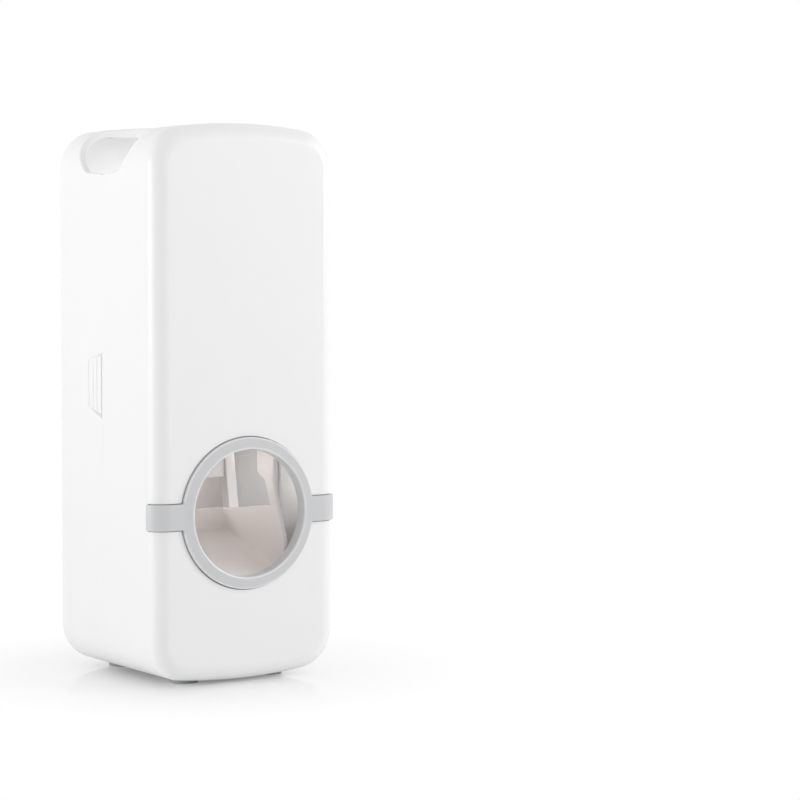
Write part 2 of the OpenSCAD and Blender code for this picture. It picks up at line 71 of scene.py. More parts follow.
MM = 0.001
QUARTER = math.pi / 2

# Directions that the arcs of an outline turn about
SEEN_FROM_FRONT = (0, 1, 0)
SEEN_FROM_ABOVE = (0, 0, -1)

# Places read from the frame
cover_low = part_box("front_cover")[0]
rear_low, rear_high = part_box("rear_housing")
trim_low, trim_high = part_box("trim_ring")
cradle_low, cradle_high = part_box("push_cradle")
duct_low, duct_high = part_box("outlet_duct")
spout_low, spout_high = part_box("outlet_spout")
spring_low, spring_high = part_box("return_spring")
feet_low, feet_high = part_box("housing_feet")


def length(name, description, default):
    """A size that a user may change."""
    return bpy.props.FloatProperty(name=name, description=description, default=default, unit="LENGTH",
                                   subtype="DISTANCE", min=0.0, precision=5)


def place(name, description, default):
    """A coordinate, which may be below zero."""
    return bpy.props.FloatProperty(name=name, description=description, default=default, unit="LENGTH",
                                   subtype="DISTANCE", precision=5)


def colour(name, description, default):
    return bpy.props.FloatVectorProperty(name=name, description=description, default=default,
                                         subtype="COLOR", size=3, min=0.0, max=1.0)


def amount(name, description, default):
    return bpy.props.FloatProperty(name=name, description=description, default=default, min=0.0)


class HousingSizes(bpy.types.PropertyGroup):
    """Sizes of the two halves of the housing"""

    width: length("Width", "Width across the side walls", rear_high.x - rear_low.x)
    depth: length("Depth", "Depth from the front face to the back face", 2 * rear_high.y)
    top: length("Top", "Height of the highest point of the arched top", rear_high.z)
    bottom: length("Bottom", "Height of the lowest point of the arched bottom", rear_low.z)
    top_fall: length("Top fall", "Fall of the arched top from the middle to the sides", 3 * MM)
    bottom_rise: length("Bottom rise", "Rise of the arched bottom to the sides", 2.6 * MM)
    corner_radius: length("Corner radius", "Corner radius of the front outline", 11 * MM)
    edge_radius: length("Edge radius", "Rounding round the front face", 5 * MM)
    back_edge_radius: length("Back edge radius", "Rounding round the back face", 6.5 * MM)
    wall: length("Wall", "Wall thickness", 2 * MM)
    parting_gap: length("Parting gap", "Gap between the two halves", 0.03 * MM)
    lip_step: length("Lip step", "Distance of the lip inside the outline", 2.15 * MM)
    lip_wall: length("Lip wall", "Thickness of the lip", 1 * MM)
    lip_reach: length("Lip reach", "How far the lip reaches into the cover", 2 * MM)
    lip_root: length("Lip root", "How far the lip reaches into the rear housing", 3 * MM)


class SlotSizes(bpy.types.PropertyGroup):
    """Sizes of the slot across the top and of the grip recess"""

    radius: length("Slot radius", "Radius of the round cut across the top", 16.4 * MM)
    floor: length("Slot floor", "Height of the slot's floor at its ends", 144.4 * MM)
    floor_half: length("Floor half length", "Half the length of the slot's floor", 8 * MM)
    dip: length("Floor dip", "How far the floor's middle lies lower", 0.6 * MM)
    dip_y: place("Dip place", "Depth of the floor's lowest line", -0.6 * MM)
    grip_depth: length("Grip depth", "Depth of the grip recess at the parting line", 1.6 * MM)
    grip_length: length("Grip length", "Length of the grip recess towards the back", 8.5 * MM)
    grip_low: length("Grip low end", "Lower end of the grip recess", 74.3 * MM)
    grip_high: length("Grip high end", "Upper end of the grip recess", 93.1 * MM)
    grip_rise: length("Grip rise", "Rise of the low end towards the back", 3.3 * MM)
    grip_fall: length("Grip fall", "Fall of the high end towards the back", 2 * MM)
    groove_width: length("Groove width", "Width of the fine grooves in the grip recess", 0.3 * MM)
    groove_depth: length("Groove depth", "Depth of the fine grooves in the grip recess", 0.12 * MM)


class TrimSizes(bpy.types.PropertyGroup):
    """Sizes of the trim ring with its strap"""

    height: length("Ring height", "Height of the centre of the opening", (trim_low.z + trim_high.z) / 2)
    radius: length("Ring radius", "Outer radius of the ring", (trim_high.z - trim_low.z) / 2)
    opening: length("Opening radius", "Radius of the opening", 18 * MM)
    strap: length("Strap height", "Height of the strap", 7.3 * MM)
    proud: length("Proud", "How far the strap and the ring's outer edge stand proud", 0.9 * MM)
    lip: length("Lip", "How far the ring stands proud at the opening", cover_low.y - trim_low.y)
    step: length("Step", "Width of the flat rim round the ring's sloping face", 0.4 * MM)
    crest: length("Crest", "Width of the flat crest round the opening", 1 * MM)
    sunk: length("Sunk", "Depth of the recess in the cover", 1 * MM)
    gap: length("Gap", "Gap round the trim in its recess", 0.25 * MM)
    strap_end: place("Strap end", "Depth at which the strap ends on the side walls", -26.1 * MM)
    fillet: length("Fillet", "Fillet between the ring and the strap", 0.3 * MM)
    sleeve: length("Sleeve wall", "Wall of the sleeve that reaches through the cover", 1.2 * MM)


class MechanismSizes(bpy.types.PropertyGroup):
    """Sizes of the cradle, the outlet and the spring"""

    cheek: length("Cheek thickness", "Thickness of the cradle's cheeks", 1.5 * MM)
    cheek_low: length("Cheek low end", "Height of a cheek at its front edge", 39 * MM)
    cheek_bend_y: place("Cheek bend place", "Depth at which a cheek's top edge turns up", -19.5 * MM)
    cheek_bend: length("Cheek bend height", "Height at which a cheek's top edge turns up", 49 * MM)
    arm_root: length("Arm root", "Height at which the cradle's arms begin", 56 * MM)
    arm_front: place("Arm front", "Depth of the front edge of the cradle's arms", -20.6 * MM)
    arm_back: place("Arm back", "Depth of the back edge of the cradle's arms", -12 * MM)
    screw_hole: length("Screw hole", "Radius of the screw holes in the cradle's arms", 1.1 * MM)
    floor_wall: length("Floor thickness", "Height of the cradle's floor plate", 1.6 * MM)
    floor_back: length("Floor height", "Height of the cradle's floor at its back wall", 40 * MM)
    floor_slope: bpy.props.FloatProperty(name="Floor slope", description="Slope of the cradle's floor",
                                         default=math.radians(15.7), subtype="ANGLE")
    back_wall: length("Back wall", "Thickness of the cradle's back wall", 1.8 * MM)
    wall_top: length("Wall top", "Height of the cradle's back wall", 46 * MM)
    pump_height: length("Pump height", "Height of the pump's axis", 79 * MM)
    screw_y: place("Cradle screw place", "Depth of the screws in the cradle's arms", -16.3 * MM)
    duct_width: length("Duct width", "Width of the outlet duct", 5 * MM)
    arm_depth: length("Arm depth", "Depth of the outlet arm from front to back", 4 * MM)
    spout_depth: length("Spout depth", "Depth of the spout from front to back", 3.6 * MM)
    nozzle: length("Nozzle radius", "Radius of the bore through the spout", 1 * MM)
    port_inset: length("Port inset", "Distance of the outlet port from the duct's back", 2.8 * MM)
    port: length("Port radius", "Radius of the passage from the pump into the duct", 1.4 * MM)
    valve_seat: length("Valve seat radius", "Radius of the seat of the outlet valve", 1.9 * MM)
    valve_depth: length("Valve seat depth", "Depth of the seat of the outlet valve", 2.8 * MM)
    wire: length("Wire", "Wire diameter of the return spring", 0.9 * MM)
    curls: amount("Curls", "Number of curls of the return spring", 6.5)


class FinishValues(bpy.types.PropertyGroup):
    """Colours of the finishes"""

    housing: colour("Housing", "White of the two housing halves", (0.93, 0.93, 0.93))
    trim: colour("Trim", "Grey of the trim ring", (0.652, 0.655, 0.665))
    # Warmer and darker than the housing's white: partly the plastic's own tone, partly painted warm shade
    # standing in for light bounced round inside the housing
    mechanism: colour("Mechanism", "Warm white of the moulded mechanism", (0.86, 0.815, 0.79))
    clear: colour("Clear grey", "Cool grey of the socket and the piston", (0.62, 0.66, 0.70))
    rubber: colour("Rubber", "Grey of the feet and seals", (0.42, 0.43, 0.44))
    steel: colour("Steel", "Zinc plated steel", (0.62, 0.62, 0.64))
    foam: colour("Foam tape", "Paper liner of the foam tape", (0.80, 0.79, 0.74))


class StudioValues(bpy.types.PropertyGroup):
    """Camera, light and floor"""

    lens: bpy.props.FloatProperty(name="Lens", description="Focal length in millimetres on a 36 mm sensor",
                                  default=115.97, min=10.0)
    camera_place: bpy.props.FloatVectorProperty(name="Camera", description="Place of the camera",
                                                default=(-0.37841, -0.64854, 0.12421), subtype="TRANSLATION")
    camera_turn: bpy.props.FloatProperty(name="Turn", description="Turn of the camera about the vertical",
                                         default=math.radians(-34.846), subtype="ANGLE")
    camera_dip: bpy.props.FloatProperty(name="Dip", description="How far the camera looks down",
                                        default=math.radians(3.464), subtype="ANGLE")
    camera_roll: bpy.props.FloatProperty(name="Roll", description="Roll of the camera",
                                         default=math.radians(0.115), subtype="ANGLE")
    ambient: amount("Ambient", "Strength of the white surroundings", 0.72)
    hollow: amount("Hollow", "How much darker the surroundings are on the camera's side", 0.32)
    key: amount("Key", "Power of the soft lamp on the left in watts", 5.15)
    inner: amount("Inner", "Power of the lamps inside in watts", 0.02)
    side: amount("Side", "Power of the soft lamp on the right in watts", 3.6)
    lamp_size: length("Lamp size", "Diameter of the two soft lamps", 0.6)
    floor: colour("Floor", "Colour of the floor", (0.98, 0.98, 0.98))
    floor_radius: length("Floor radius", "Radius of the round floor", 1.2)
    # Between these distances the floor glows white to the camera, a painted lift of its shadow and reflection
    # near the object
    fade_start: length("Fade start", "Distance from the middle at which the floor starts to fade", 8 * MM)
    fade_end: length("Fade end", "Distance from the middle at which the floor is pure white", 80 * MM)


# Selecting and shaping

def clear_selection():
    """Leaves edit mode and selects nothing."""
    if bpy.context.object and bpy.context.object.mode != "OBJECT":
        bpy.ops.object.mode_set(mode="OBJECT")
    bpy.ops.object.select_all(action="DESELECT")


def take(piece):
    """Makes the piece the only one selected, and the active one."""
    clear_selection()
    piece.select_set(True)
    bpy.context.view_layer.objects.active = piece


def edit(piece):
    """Opens the piece in edit mode with nothing in it selected."""
    take(piece)
    bpy.ops.object.mode_set(mode="EDIT")
    bpy.ops.mesh.select_all(action="DESELECT")


def pick(kind, test):
    """Selects the active piece's vertices, edges or faces that pass the test, in edit mode."""
    piece = bpy.context.object
    bpy.ops.mesh.select_mode(type=kind)
    bpy.ops.mesh.select_all(action="DESELECT")
    mesh = bmesh.from_edit_mesh(piece.data)
    mesh.normal_update()
    parts = {"VERT": mesh.verts, "EDGE": mesh.edges, "FACE": mesh.faces}[kind]
    found = [part for part in parts if test(part)]
    if not found:
        raise RuntimeError(f"no {kind.lower()} of {piece.name} passes the test")
    for part in found:
        part.select_set(True)
    bmesh.update_edit_mesh(piece.data)


def middle(edge):
    return (edge.verts[0].co + edge.verts[1].co) / 2


def near(a, b, slack=0.02 * MM):
    return abs(a - b) < slack


def sharp(edge, angle=math.radians(28)):
    """Whether the edge is a real corner of the shape."""
    return len(edge.link_faces) == 2 and edge.calc_face_angle(0) > angle


def start_vertex(name, point):
    """A new piece of one vertex, in edit mode, from which an outline grows."""
    clear_selection()
    bpy.ops.mesh.primitive_plane_add(size=MM)
    piece = bpy.context.object
    piece.name = name
    bpy.ops.object.mode_set(mode="EDIT")
    bpy.ops.mesh.select_mode(type="VERT")
    bpy.ops.mesh.select_all(action="SELECT")
    bpy.ops.mesh.merge(type="CENTER")
    bpy.ops.transform.translate(value=point)
    return piece


def line(x=0.0, y=0.0, z=0.0):
    """Extrudes the outline's end straight on."""
    bpy.ops.mesh.extrude_region_move(TRANSFORM_OT_translate={"value": (x, y, z)})


def arc(centre, angle, steps, axis=SEEN_FROM_FRONT):
    """Spins the outline's end round a centre, anticlockwise where the angle is above zero."""
    bpy.ops.mesh.spin(steps=steps, angle=angle, center=centre, axis=axis)


def close_outline():
    """Joins the outline's ends and fills it with one face."""
    bpy.ops.mesh.select_all(action="SELECT")
    bpy.ops.mesh.remove_doubles(threshold=0.002 * MM)
    bpy.ops.mesh.edge_face_add()


def thicken(x=0.0, y=0.0, z=0.0):
    """Extrudes the one face into a solid, and turns all faces outwards."""
    bpy.ops.mesh.extrude_region_move(TRANSFORM_OT_translate={"value": (x, y, z)})
    bpy.ops.mesh.select_all(action="SELECT")
    bpy.ops.mesh.normals_make_consistent(inside=False)


def shape(piece, kind, **settings):
    """Adds a modifier with these settings and applies it."""
    take(piece)
    modifier = piece.modifiers.new(kind, kind)
    for name, value in settings.items():
        setattr(modifier, name, value)
    bpy.ops.object.modifier_apply(modifier=modifier.name)


def join_solid(piece, tool, operation="UNION"):
    """Joins a closed solid to the piece, or cuts it out, and removes the tool."""
    take(piece)
    shape(piece, "BOOLEAN", operation=operation, solver="EXACT", object=tool)
    bpy.data.objects.remove(tool)


def cut(piece, tool):
    join_solid(piece, tool, "DIFFERENCE")


def mirrored(piece, name):
    """A copy of the piece on the other side, with its own mesh."""
    take(piece)
    bpy.ops.object.duplicate()
    copy = bpy.context.object
    copy.name = name
    bpy.ops.transform.mirror(constraint_axis=(True, False, False))
    bpy.ops.object.transform_apply(location=True, rotation=True, scale=True)
    bpy.ops.object.mode_set(mode="EDIT")
    bpy.ops.mesh.select_all(action="SELECT")
    bpy.ops.mesh.normals_make_consistent(inside=False)
    clear_selection()
    return copy


def block(name, low, high):
    """A box from its low corner to its high corner."""
    low, high = Vector(low), Vector(high)
    clear_selection()
    bpy.ops.mesh.primitive_cube_add(size=1, location=(low + high) / 2)
    piece = bpy.context.object
    piece.name = name
    piece.scale = high - low
    bpy.ops.object.transform_apply(location=True, rotation=True, scale=True)
    return piece


def rod(name, start, end, radius, sides=96, end_radius=None):
    """A round bar between two points, or a cone where the end's radius is given."""
    start, end = Vector(start), Vector(end)
    turn = (end - start).to_track_quat("Z", "Y").to_euler()
    clear_selection()
    bpy.ops.mesh.primitive_cone_add(vertices=sides, radius1=radius,
                                    radius2=radius if end_radius is None else end_radius,
                                    depth=(end - start).length, location=(start + end) / 2, rotation=turn)
    piece = bpy.context.object
    piece.name = name
    bpy.ops.object.transform_apply(location=True, rotation=True, scale=True)
    return piece


def slice_away(piece, point, normal):
    """Cuts the solid at a plane, drops what lies in front of the plane and closes the cut."""
    take(piece)
    bpy.ops.object.mode_set(mode="EDIT")
    bpy.ops.mesh.select_all(action="SELECT")
    bpy.ops.mesh.bisect(plane_co=point, plane_no=Vector(normal).normalized(), use_fill=True, clear_outer=True)
    clear_selection()


def prism_x(name, points, low_x, high_x):
    """A solid with the given outline in Y and Z between two places along X."""
    piece = start_vertex(name, (low_x, *points[0]))
    for before, after in zip(points, points[1:]):
        line(y=after[0] - before[0], z=after[1] - before[1])
    close_outline()
    thicken(x=high_x - low_x)
    clear_selection()
    return piece


def weigh(share, test):
    """Gives the bevel weight to the edges that pass the test, in edit mode."""
    pick("EDGE", test)
    bpy.ops.transform.edge_bevelweight(value=share)


def round_weighted(piece, width, segments=3):
    """Rounds the weighted edges, each by its share of the width."""
    shape(piece, "BEVEL", limit_method="WEIGHT", width=width, segments=segments, use_clamp_overlap=False,
          loop_slide=False)


def round_corners(piece, width, segments=3, angle=math.radians(28)):
    """Rounds every real corner of the piece alike."""
    shape(piece, "BEVEL", limit_method="ANGLE", angle_limit=angle, width=width, segments=segments,
          use_clamp_overlap=False, loop_slide=True)


def tidy_mesh(piece, distance=0.03 * MM):
    """Merges what a cut has left almost in one place, and dissolves flat edges."""
    edit(piece)
    bpy.ops.mesh.select_all(action="SELECT")
    bpy.ops.mesh.remove_doubles(threshold=distance)
    bpy.ops.mesh.dissolve_limited(angle_limit=math.radians(0.1))
    bpy.ops.mesh.select_all(action="SELECT")
    bpy.ops.mesh.normals_make_consistent(inside=False)
    clear_selection()


def smooth(piece, angle=math.radians(34)):
    """Shades the piece smooth, with its flat faces flat."""
    take(piece)
    bpy.ops.object.shade_smooth_by_angle(angle=angle)
    shape(piece, "WEIGHTED_NORMAL", mode="FACE_AREA", weight=50, keep_sharp=True)


def settle(piece, name, body, nodes, material):
    """Names the finished piece, gives it its finish and sets it on the body that carries it."""
    piece.name = name
    piece.data.name = name
    piece.data.materials.clear()
    piece.data.materials.append(material)
    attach(piece, body)
    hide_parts(*nodes)
    clear_selection()


# Finishes

def new_group(name, inputs, outputs):
    """An empty node group with named sockets; inputs and outputs map a name to a kind and a default."""
    group = bpy.data.node_groups.new(name, "ShaderNodeTree")
    for label, (kind, default) in inputs.items():
        socket = group.interface.new_socket(label, in_out="INPUT", socket_type=kind)
        socket.default_value = default
    for label, kind in outputs.items():
        group.interface.new_socket(label, in_out="OUTPUT", socket_type=kind)
    return group, group.nodes.new("NodeGroupInput"), group.nodes.new("NodeGroupOutput")


def add(tree, kind, values=None, **settings):
    """A node with settings, and with values on its named or numbered input sockets."""
    node = tree.nodes.new(kind)
    for name, value in settings.items():
        setattr(node, name, value)
    for socket, value in (values or {}).items():
        node.inputs[socket].default_value = value
    return node


def number(tree, operation, a, b=None, clamp=False):
    """A Math node; a and b are sockets or plain numbers."""
    node = add(tree, "ShaderNodeMath", operation=operation, use_clamp=clamp)
    for socket, value in zip(node.inputs, (a, b)):
        if isinstance(value, bpy.types.NodeSocket):
            tree.links.new(value, socket)
        elif value is not None:
            socket.default_value = value
    return node.outputs[0]


def moulded_surface_group():
    """Injection-moulded plastic: slow clouds in shade and gloss, and the fine spark grain of the mould."""
    group, given, result = new_group(
        "Moulded surface",
        {"Colour": ("NodeSocketColor", (0.8, 0.8, 0.8, 1)), "Shade spread": ("NodeSocketFloat", 0.02),
         "Cloud size": ("NodeSocketFloat", 30.0), "Grain size": ("NodeSocketFloat", 2500.0),
         "Roughness": ("NodeSocketFloat", 0.35), "Gloss spread": ("NodeSocketFloat", 0.08),
         "Wear and highlight": ("NodeSocketFloat", 0.0)},
        {"Colour": "NodeSocketColor", "Roughness": "NodeSocketFloat", "Height": "NodeSocketFloat"})
    link = group.links.new
    place_on_piece = add(group, "ShaderNodeTexCoord").outputs["Object"]
    clouds = add(group, "ShaderNodeTexNoise", {"Detail": 3.0, "Roughness": 0.5})
    grain = add(group, "ShaderNodeTexNoise", {"Detail": 2.0, "Roughness": 0.6})
    flow = add(group, "ShaderNodeTexNoise", {"Detail": 4.0, "Roughness": 0.65})
    link(place_on_piece, clouds.inputs["Vector"])
    link(place_on_piece, grain.inputs["Vector"])
    link(place_on_piece, flow.inputs["Vector"])
    link(given.outputs["Cloud size"], clouds.inputs["Scale"])
    link(given.outputs["Grain size"], grain.inputs["Scale"])
    link(number(group, "MULTIPLY", given.outputs["Cloud size"], 4.0), flow.inputs["Scale"])
    centred_cloud = number(group, "SUBTRACT", clouds.outputs["Fac"], 0.5)
    centred_flow = number(group, "SUBTRACT", flow.outputs["Fac"], 0.5)
    mottle = number(group, "ADD", centred_cloud, number(group, "MULTIPLY", centred_flow, 0.35))
    shade = number(group, "MULTIPLY", mottle, given.outputs["Shade spread"])
    # The wear input lightens and glosses the surface: real wear, and on the trim a painted highlight along
    # its edges
    lightness = number(group, "ADD", number(group, "ADD", shade, 1.0), given.outputs["Wear and highlight"])
    tint = add(group, "ShaderNodeVectorMath", operation="SCALE")
    link(given.outputs["Colour"], tint.inputs[0])
    link(lightness, tint.inputs["Scale"])
    link(tint.outputs[0], result.inputs["Colour"])
    gloss = number(group, "MULTIPLY", centred_flow, given.outputs["Gloss spread"])
    wear_and_highlight = number(group, "SUBTRACT", number(group, "ADD", given.outputs["Roughness"], gloss),
                  number(group, "MULTIPLY", given.outputs["Wear and highlight"], 1.5))
    link(number(group, "MAXIMUM", wear_and_highlight, 0.05), result.inputs["Roughness"])
    link(grain.outputs["Fac"], result.inputs["Height"])
    return group


def edge_wear_and_highlight_group():
    """How far an edge is lightened and glossed: real wear polished by handling, and on the trim mostly a
    painted highlight where its rounded edges would catch the light; 0 on flat faces, up to Amount on corners,
    broken up.
    """
    group, given, result = new_group(
        "Edge wear and highlight",
        {"Width": ("NodeSocketFloat", 0.0005), "Amount": ("NodeSocketFloat", 0.05)},
        {"Mask": "NodeSocketFloat"})
    link = group.links.new
    plain = add(group, "ShaderNodeNewGeometry").outputs["Normal"]
    rounded = add(group, "ShaderNodeBevel", samples=4)
    link(given.outputs["Width"], rounded.inputs["Radius"])
    across = add(group, "ShaderNodeVectorMath", operation="DOT_PRODUCT")
    link(plain, across.inputs[0])
    link(rounded.outputs["Normal"], across.inputs[1])
    bend = number(group, "MULTIPLY", number(group, "SUBTRACT", 1.0, across.outputs["Value"]), 4.0, clamp=True)
    patches = add(group, "ShaderNodeTexNoise", {"Scale": 180.0, "Detail": 3.0})
    link(add(group, "ShaderNodeTexCoord").outputs["Object"], patches.inputs["Vector"])
    broken = number(group, "MULTIPLY", bend, number(group, "MULTIPLY", patches.outputs["Fac"], 1.6))
    link(number(group, "MULTIPLY", broken, given.outputs["Amount"]), result.inputs["Mask"])
    return group


def drawn_metal_group():
    """Fine drawing lines along a wire or a turned part, with faint stains."""
    group, given, result = new_group(
        "Drawn metal",
        {"Colour": ("NodeSocketColor", (0.6, 0.6, 0.6, 1)), "Roughness": ("NodeSocketFloat", 0.3)},
        {"Colour": "NodeSocketColor", "Roughness": "NodeSocketFloat", "Height": "NodeSocketFloat"})
    link = group.links.new
    squeeze = add(group, "ShaderNodeMapping", {"Scale": (1.0, 6.0, 1.0)})
    link(add(group, "ShaderNodeTexCoord").outputs["Object"], squeeze.inputs["Vector"])
    lines = add(group, "ShaderNodeTexNoise", {"Scale": 900.0, "Detail": 4.0})
    stains = add(group, "ShaderNodeTexNoise", {"Scale": 120.0, "Detail": 2.0})
    link(squeeze.outputs[0], lines.inputs["Vector"])
    link(squeeze.outputs[0], stains.inputs["Vector"])
    spread = number(group, "MULTIPLY", number(group, "SUBTRACT", stains.outputs["Fac"], 0.5), 0.3)
    tint = add(group, "ShaderNodeVectorMath", operation="SCALE")
    link(given.outputs["Colour"], tint.inputs[0])
    link(number(group, "ADD", 1.0, spread), tint.inputs["Scale"])
    link(tint.outputs[0], result.inputs["Colour"])
    streaks = number(group, "MULTIPLY", lines.outputs["Fac"], 0.2)
    link(number(group, "ADD", given.outputs["Roughness"], streaks), result.inputs["Roughness"])
    link(lines.outputs["Fac"], result.inputs["Height"])
    return group


def place_group(tree, group, values):
    """Puts a node group into a material with its own values."""
    node = add(tree, "ShaderNodeGroup", node_tree=bpy.data.node_groups[group])
    for socket, value in values.items():
        node.inputs[socket].default_value = value
    return node


def material_with(name, surface_group, values, relief, relief_depth, wear=None, **shader_values):
    """A material whose colour, gloss and relief come from a surface group, with optional edge wear that also
    carries a painted highlight on rounded edges.
    """
    material = bpy.data.materials.new(name)
    material.use_nodes = True
    tree = material.node_tree
    shader = tree.nodes["Principled BSDF"]
    surface = place_group(tree, surface_group, values)
    if wear:
        wear_and_highlight = place_group(tree, "Edge wear and highlight", wear)
        # Painted highlight: vertices stored on the trim's rounded edges are lightened by the wear amount
        highlight_mark = add(tree, "ShaderNodeAttribute", attribute_name="Painted highlight")
        painted_highlight = number(tree, "MULTIPLY", highlight_mark.outputs["Fac"], wear["Amount"])
        tree.links.new(number(tree, "ADD", wear_and_highlight.outputs["Mask"], painted_highlight), surface.inputs["Wear and highlight"])
    tree.links.new(surface.outputs["Colour"], shader.inputs["Base Color"])
    tree.links.new(surface.outputs["Roughness"], shader.inputs["Roughness"])
    bump = add(tree, "ShaderNodeBump", {"Strength": relief, "Distance": relief_depth})
    tree.links.new(surface.outputs["Height"], bump.inputs["Height"])
    tree.links.new(bump.outputs["Normal"], shader.inputs["Normal"])
    for socket, value in shader_values.items():
        shader.inputs[socket.replace("_", " ")].default_value = value
    return material


def finish(name):
    """The named finish, which the finishes operator has made."""
    return bpy.data.materials[name]


class DISPENSER_OT_finishes(bpy.types.Operator):
    """Make the finishes: housing and mechanism plastics, rubber, steel and foam tape"""

    bl_idname = "dispenser.finishes"
    bl_label = "Finishes"

    def execute(self, context):
        tones = context.scene.dispenser_finish
        moulded_surface_group()
        edge_wear_and_highlight_group()
        drawn_metal_group()
        material_with("Housing white", "Moulded surface",
                      {"Colour": (*tones.housing, 1), "Shade spread": 0.012, "Cloud size": 22.0,
                       "Grain size": 2600.0, "Roughness": 0.36, "Gloss spread": 0.1},
                      relief=0.06, relief_depth=0.03 * MM, wear={"Width": 0.6 * MM, "Amount": 0.03})
        # The trim's large edge wear amount is mostly a painted highlight: it lightens the rounded edges where
        # they would catch the light
        material_with("Trim grey", "Moulded surface",
                      {"Colour": (*tones.trim, 1), "Shade spread": 0.03, "Cloud size": 60.0,
                       "Grain size": 3000.0, "Roughness": 0.32, "Gloss spread": 0.12},
                      relief=0.06, relief_depth=0.03 * MM, wear={"Width": 0.5 * MM, "Amount": 0.2})
        # Its warm white partly paints the warm shade inside the housing, as well as giving the plastic's own
        # tone
        material_with("Mechanism white", "Moulded surface",
                      {"Colour": (*tones.mechanism, 1), "Shade spread": 0.06, "Cloud size": 70.0,
                       "Grain size": 1800.0, "Roughness": 0.5, "Gloss spread": 0.15},
                      relief=0.12, relief_depth=0.04 * MM, wear={"Width": 0.4 * MM, "Amount": 0.06})
        material_with("Clear grey", "Moulded surface",
                      {"Colour": (*tones.clear, 1), "Shade spread": 0.05, "Cloud size": 90.0,
                       "Grain size": 3000.0, "Roughness": 0.22, "Gloss spread": 0.1},
                      relief=0.05, relief_depth=0.03 * MM, wear={"Width": 0.4 * MM, "Amount": 0.05})
        material_with("Rubber grey", "Moulded surface",
                      {"Colour": (*tones.rubber, 1), "Shade spread": 0.25, "Cloud size": 300.0,
                       "Grain size": 5000.0, "Roughness": 0.75, "Gloss spread": 0.2},
                      relief=0.3, relief_depth=0.05 * MM, wear={"Width": 0.4 * MM, "Amount": 0.1})
        material_with("Screw steel", "Drawn metal", {"Colour": (*tones.steel, 1), "Roughness": 0.2},
                      relief=0.1, relief_depth=0.02 * MM, Metallic=1.0)
        material_with("Foam tape", "Moulded surface",
                      {"Colour": (*tones.foam, 1), "Shade spread": 0.08, "Cloud size": 150.0,
                       "Grain size": 1200.0, "Roughness": 0.8, "Gloss spread": 0.1},
                      relief=0.3, relief_depth=0.1 * MM)
        return {"FINISHED"}


# Housing

def arch_radius(half_width, sagitta):
    return (half_width**2 + sagitta**2) / (2 * sagitta)


# Facets of a corner of the outline, of the arched top, of a rounded edge and of a large round
CORNER_STEPS = 12
ARCH_STEPS = 24
EDGE_STEPS = 14
ROUND_SIDES = 160

# How far a solid reaches into the wall that it joins or cuts, and the play round a piece in its pocket
BITE = 0.2 * MM
DEEP_BITE = 0.5 * MM
PLAY = 0.1 * MM

# Rounding of a rim with the full bevel weight, and of the mechanism's corners
RIM_ROUNDING = 0.5 * MM
MOULD_ROUNDING = 0.35 * MM


def outline_face(name, size, y, inset=0.0):
    """One face with the housing's front outline at the depth y, drawn in by the inset all round."""
    half = size.width / 2
    corner_x = half - size.corner_radius
    top_radius = arch_radius(half, size.top_fall)
    bottom_radius = arch_radius(half, size.bottom_rise)
    top_centre = size.top - top_radius
    bottom_centre = size.bottom + bottom_radius
    top_turn = math.asin(corner_x / (top_radius - size.corner_radius))
    bottom_turn = math.asin(corner_x / (bottom_radius - size.corner_radius))
    top_corner = top_centre + (top_radius - size.corner_radius) * math.cos(top_turn)
    bottom_corner = bottom_centre - (bottom_radius - size.corner_radius) * math.cos(bottom_turn)
    piece = start_vertex(name, (half - inset, y, top_corner))
    arc((corner_x, y, top_corner), QUARTER - top_turn, CORNER_STEPS)
    arc((0, y, top_centre), 2 * top_turn, ARCH_STEPS)
    arc((-corner_x, y, top_corner), QUARTER - top_turn, CORNER_STEPS)
    line(z=bottom_corner - top_corner)
    arc((-corner_x, y, bottom_corner), QUARTER - bottom_turn, CORNER_STEPS)
    arc((0, y, bottom_centre), 2 * bottom_turn, ARCH_STEPS)
    arc((corner_x, y, bottom_corner), QUARTER - bottom_turn, CORNER_STEPS)
    close_outline()
    return piece


def half_shell(name, size, side):
    """Hollow half of the housing, open at the parting line; side is -1 at the front and 1 at the rear."""
    rim = side * size.parting_gap / 2
    face = side * size.depth / 2
    radius = size.back_edge_radius if side > 0 else size.edge_radius
    piece = outline_face(name, size, rim)
    thicken(y=face - rim)
    pick("FACE", lambda f: near(f.calc_center_median().y, face))
    bpy.ops.mesh.bevel(offset=radius, segments=EDGE_STEPS, affect="EDGES")
    pick("FACE", lambda f: near(f.calc_center_median().y, rim))
    bpy.ops.mesh.delete(type="FACE")
    shape(piece, "SOLIDIFY", thickness=size.wall, offset=-1, use_even_offset=True)
    return piece


def stepped_lip(size, rim):
    """Ring inside the parting line: a free lip at the front, which widens into the wall behind."""
    flare = size.lip_step - size.wall + BITE
    free_end = rim + 0.3 * MM
    lip_width = size.width - 2 * size.lip_step
    lip_height = size.top - size.bottom - 2 * size.lip_step
    piece = outline_face("lip", size, -size.lip_reach, size.lip_step)
    thicken(y=size.lip_reach + free_end)
    pick("FACE", lambda f: near(abs(f.normal.y), 1.0, 0.1))
    bpy.ops.mesh.delete(type="FACE")
    pick("EDGE", lambda e: near(middle(e).y, free_end))
    line(y=flare)
    bpy.ops.transform.resize(value=(1 + 2 * flare / lip_width, 1, 1 + 2 * flare / lip_height),
                             center_override=(0, free_end + flare, (size.top + size.bottom) / 2))
    line(y=size.lip_root - free_end - flare)
    shape(piece, "SOLIDIFY", thickness=size.lip_wall, offset=-1, use_even_offset=True)
    return piece


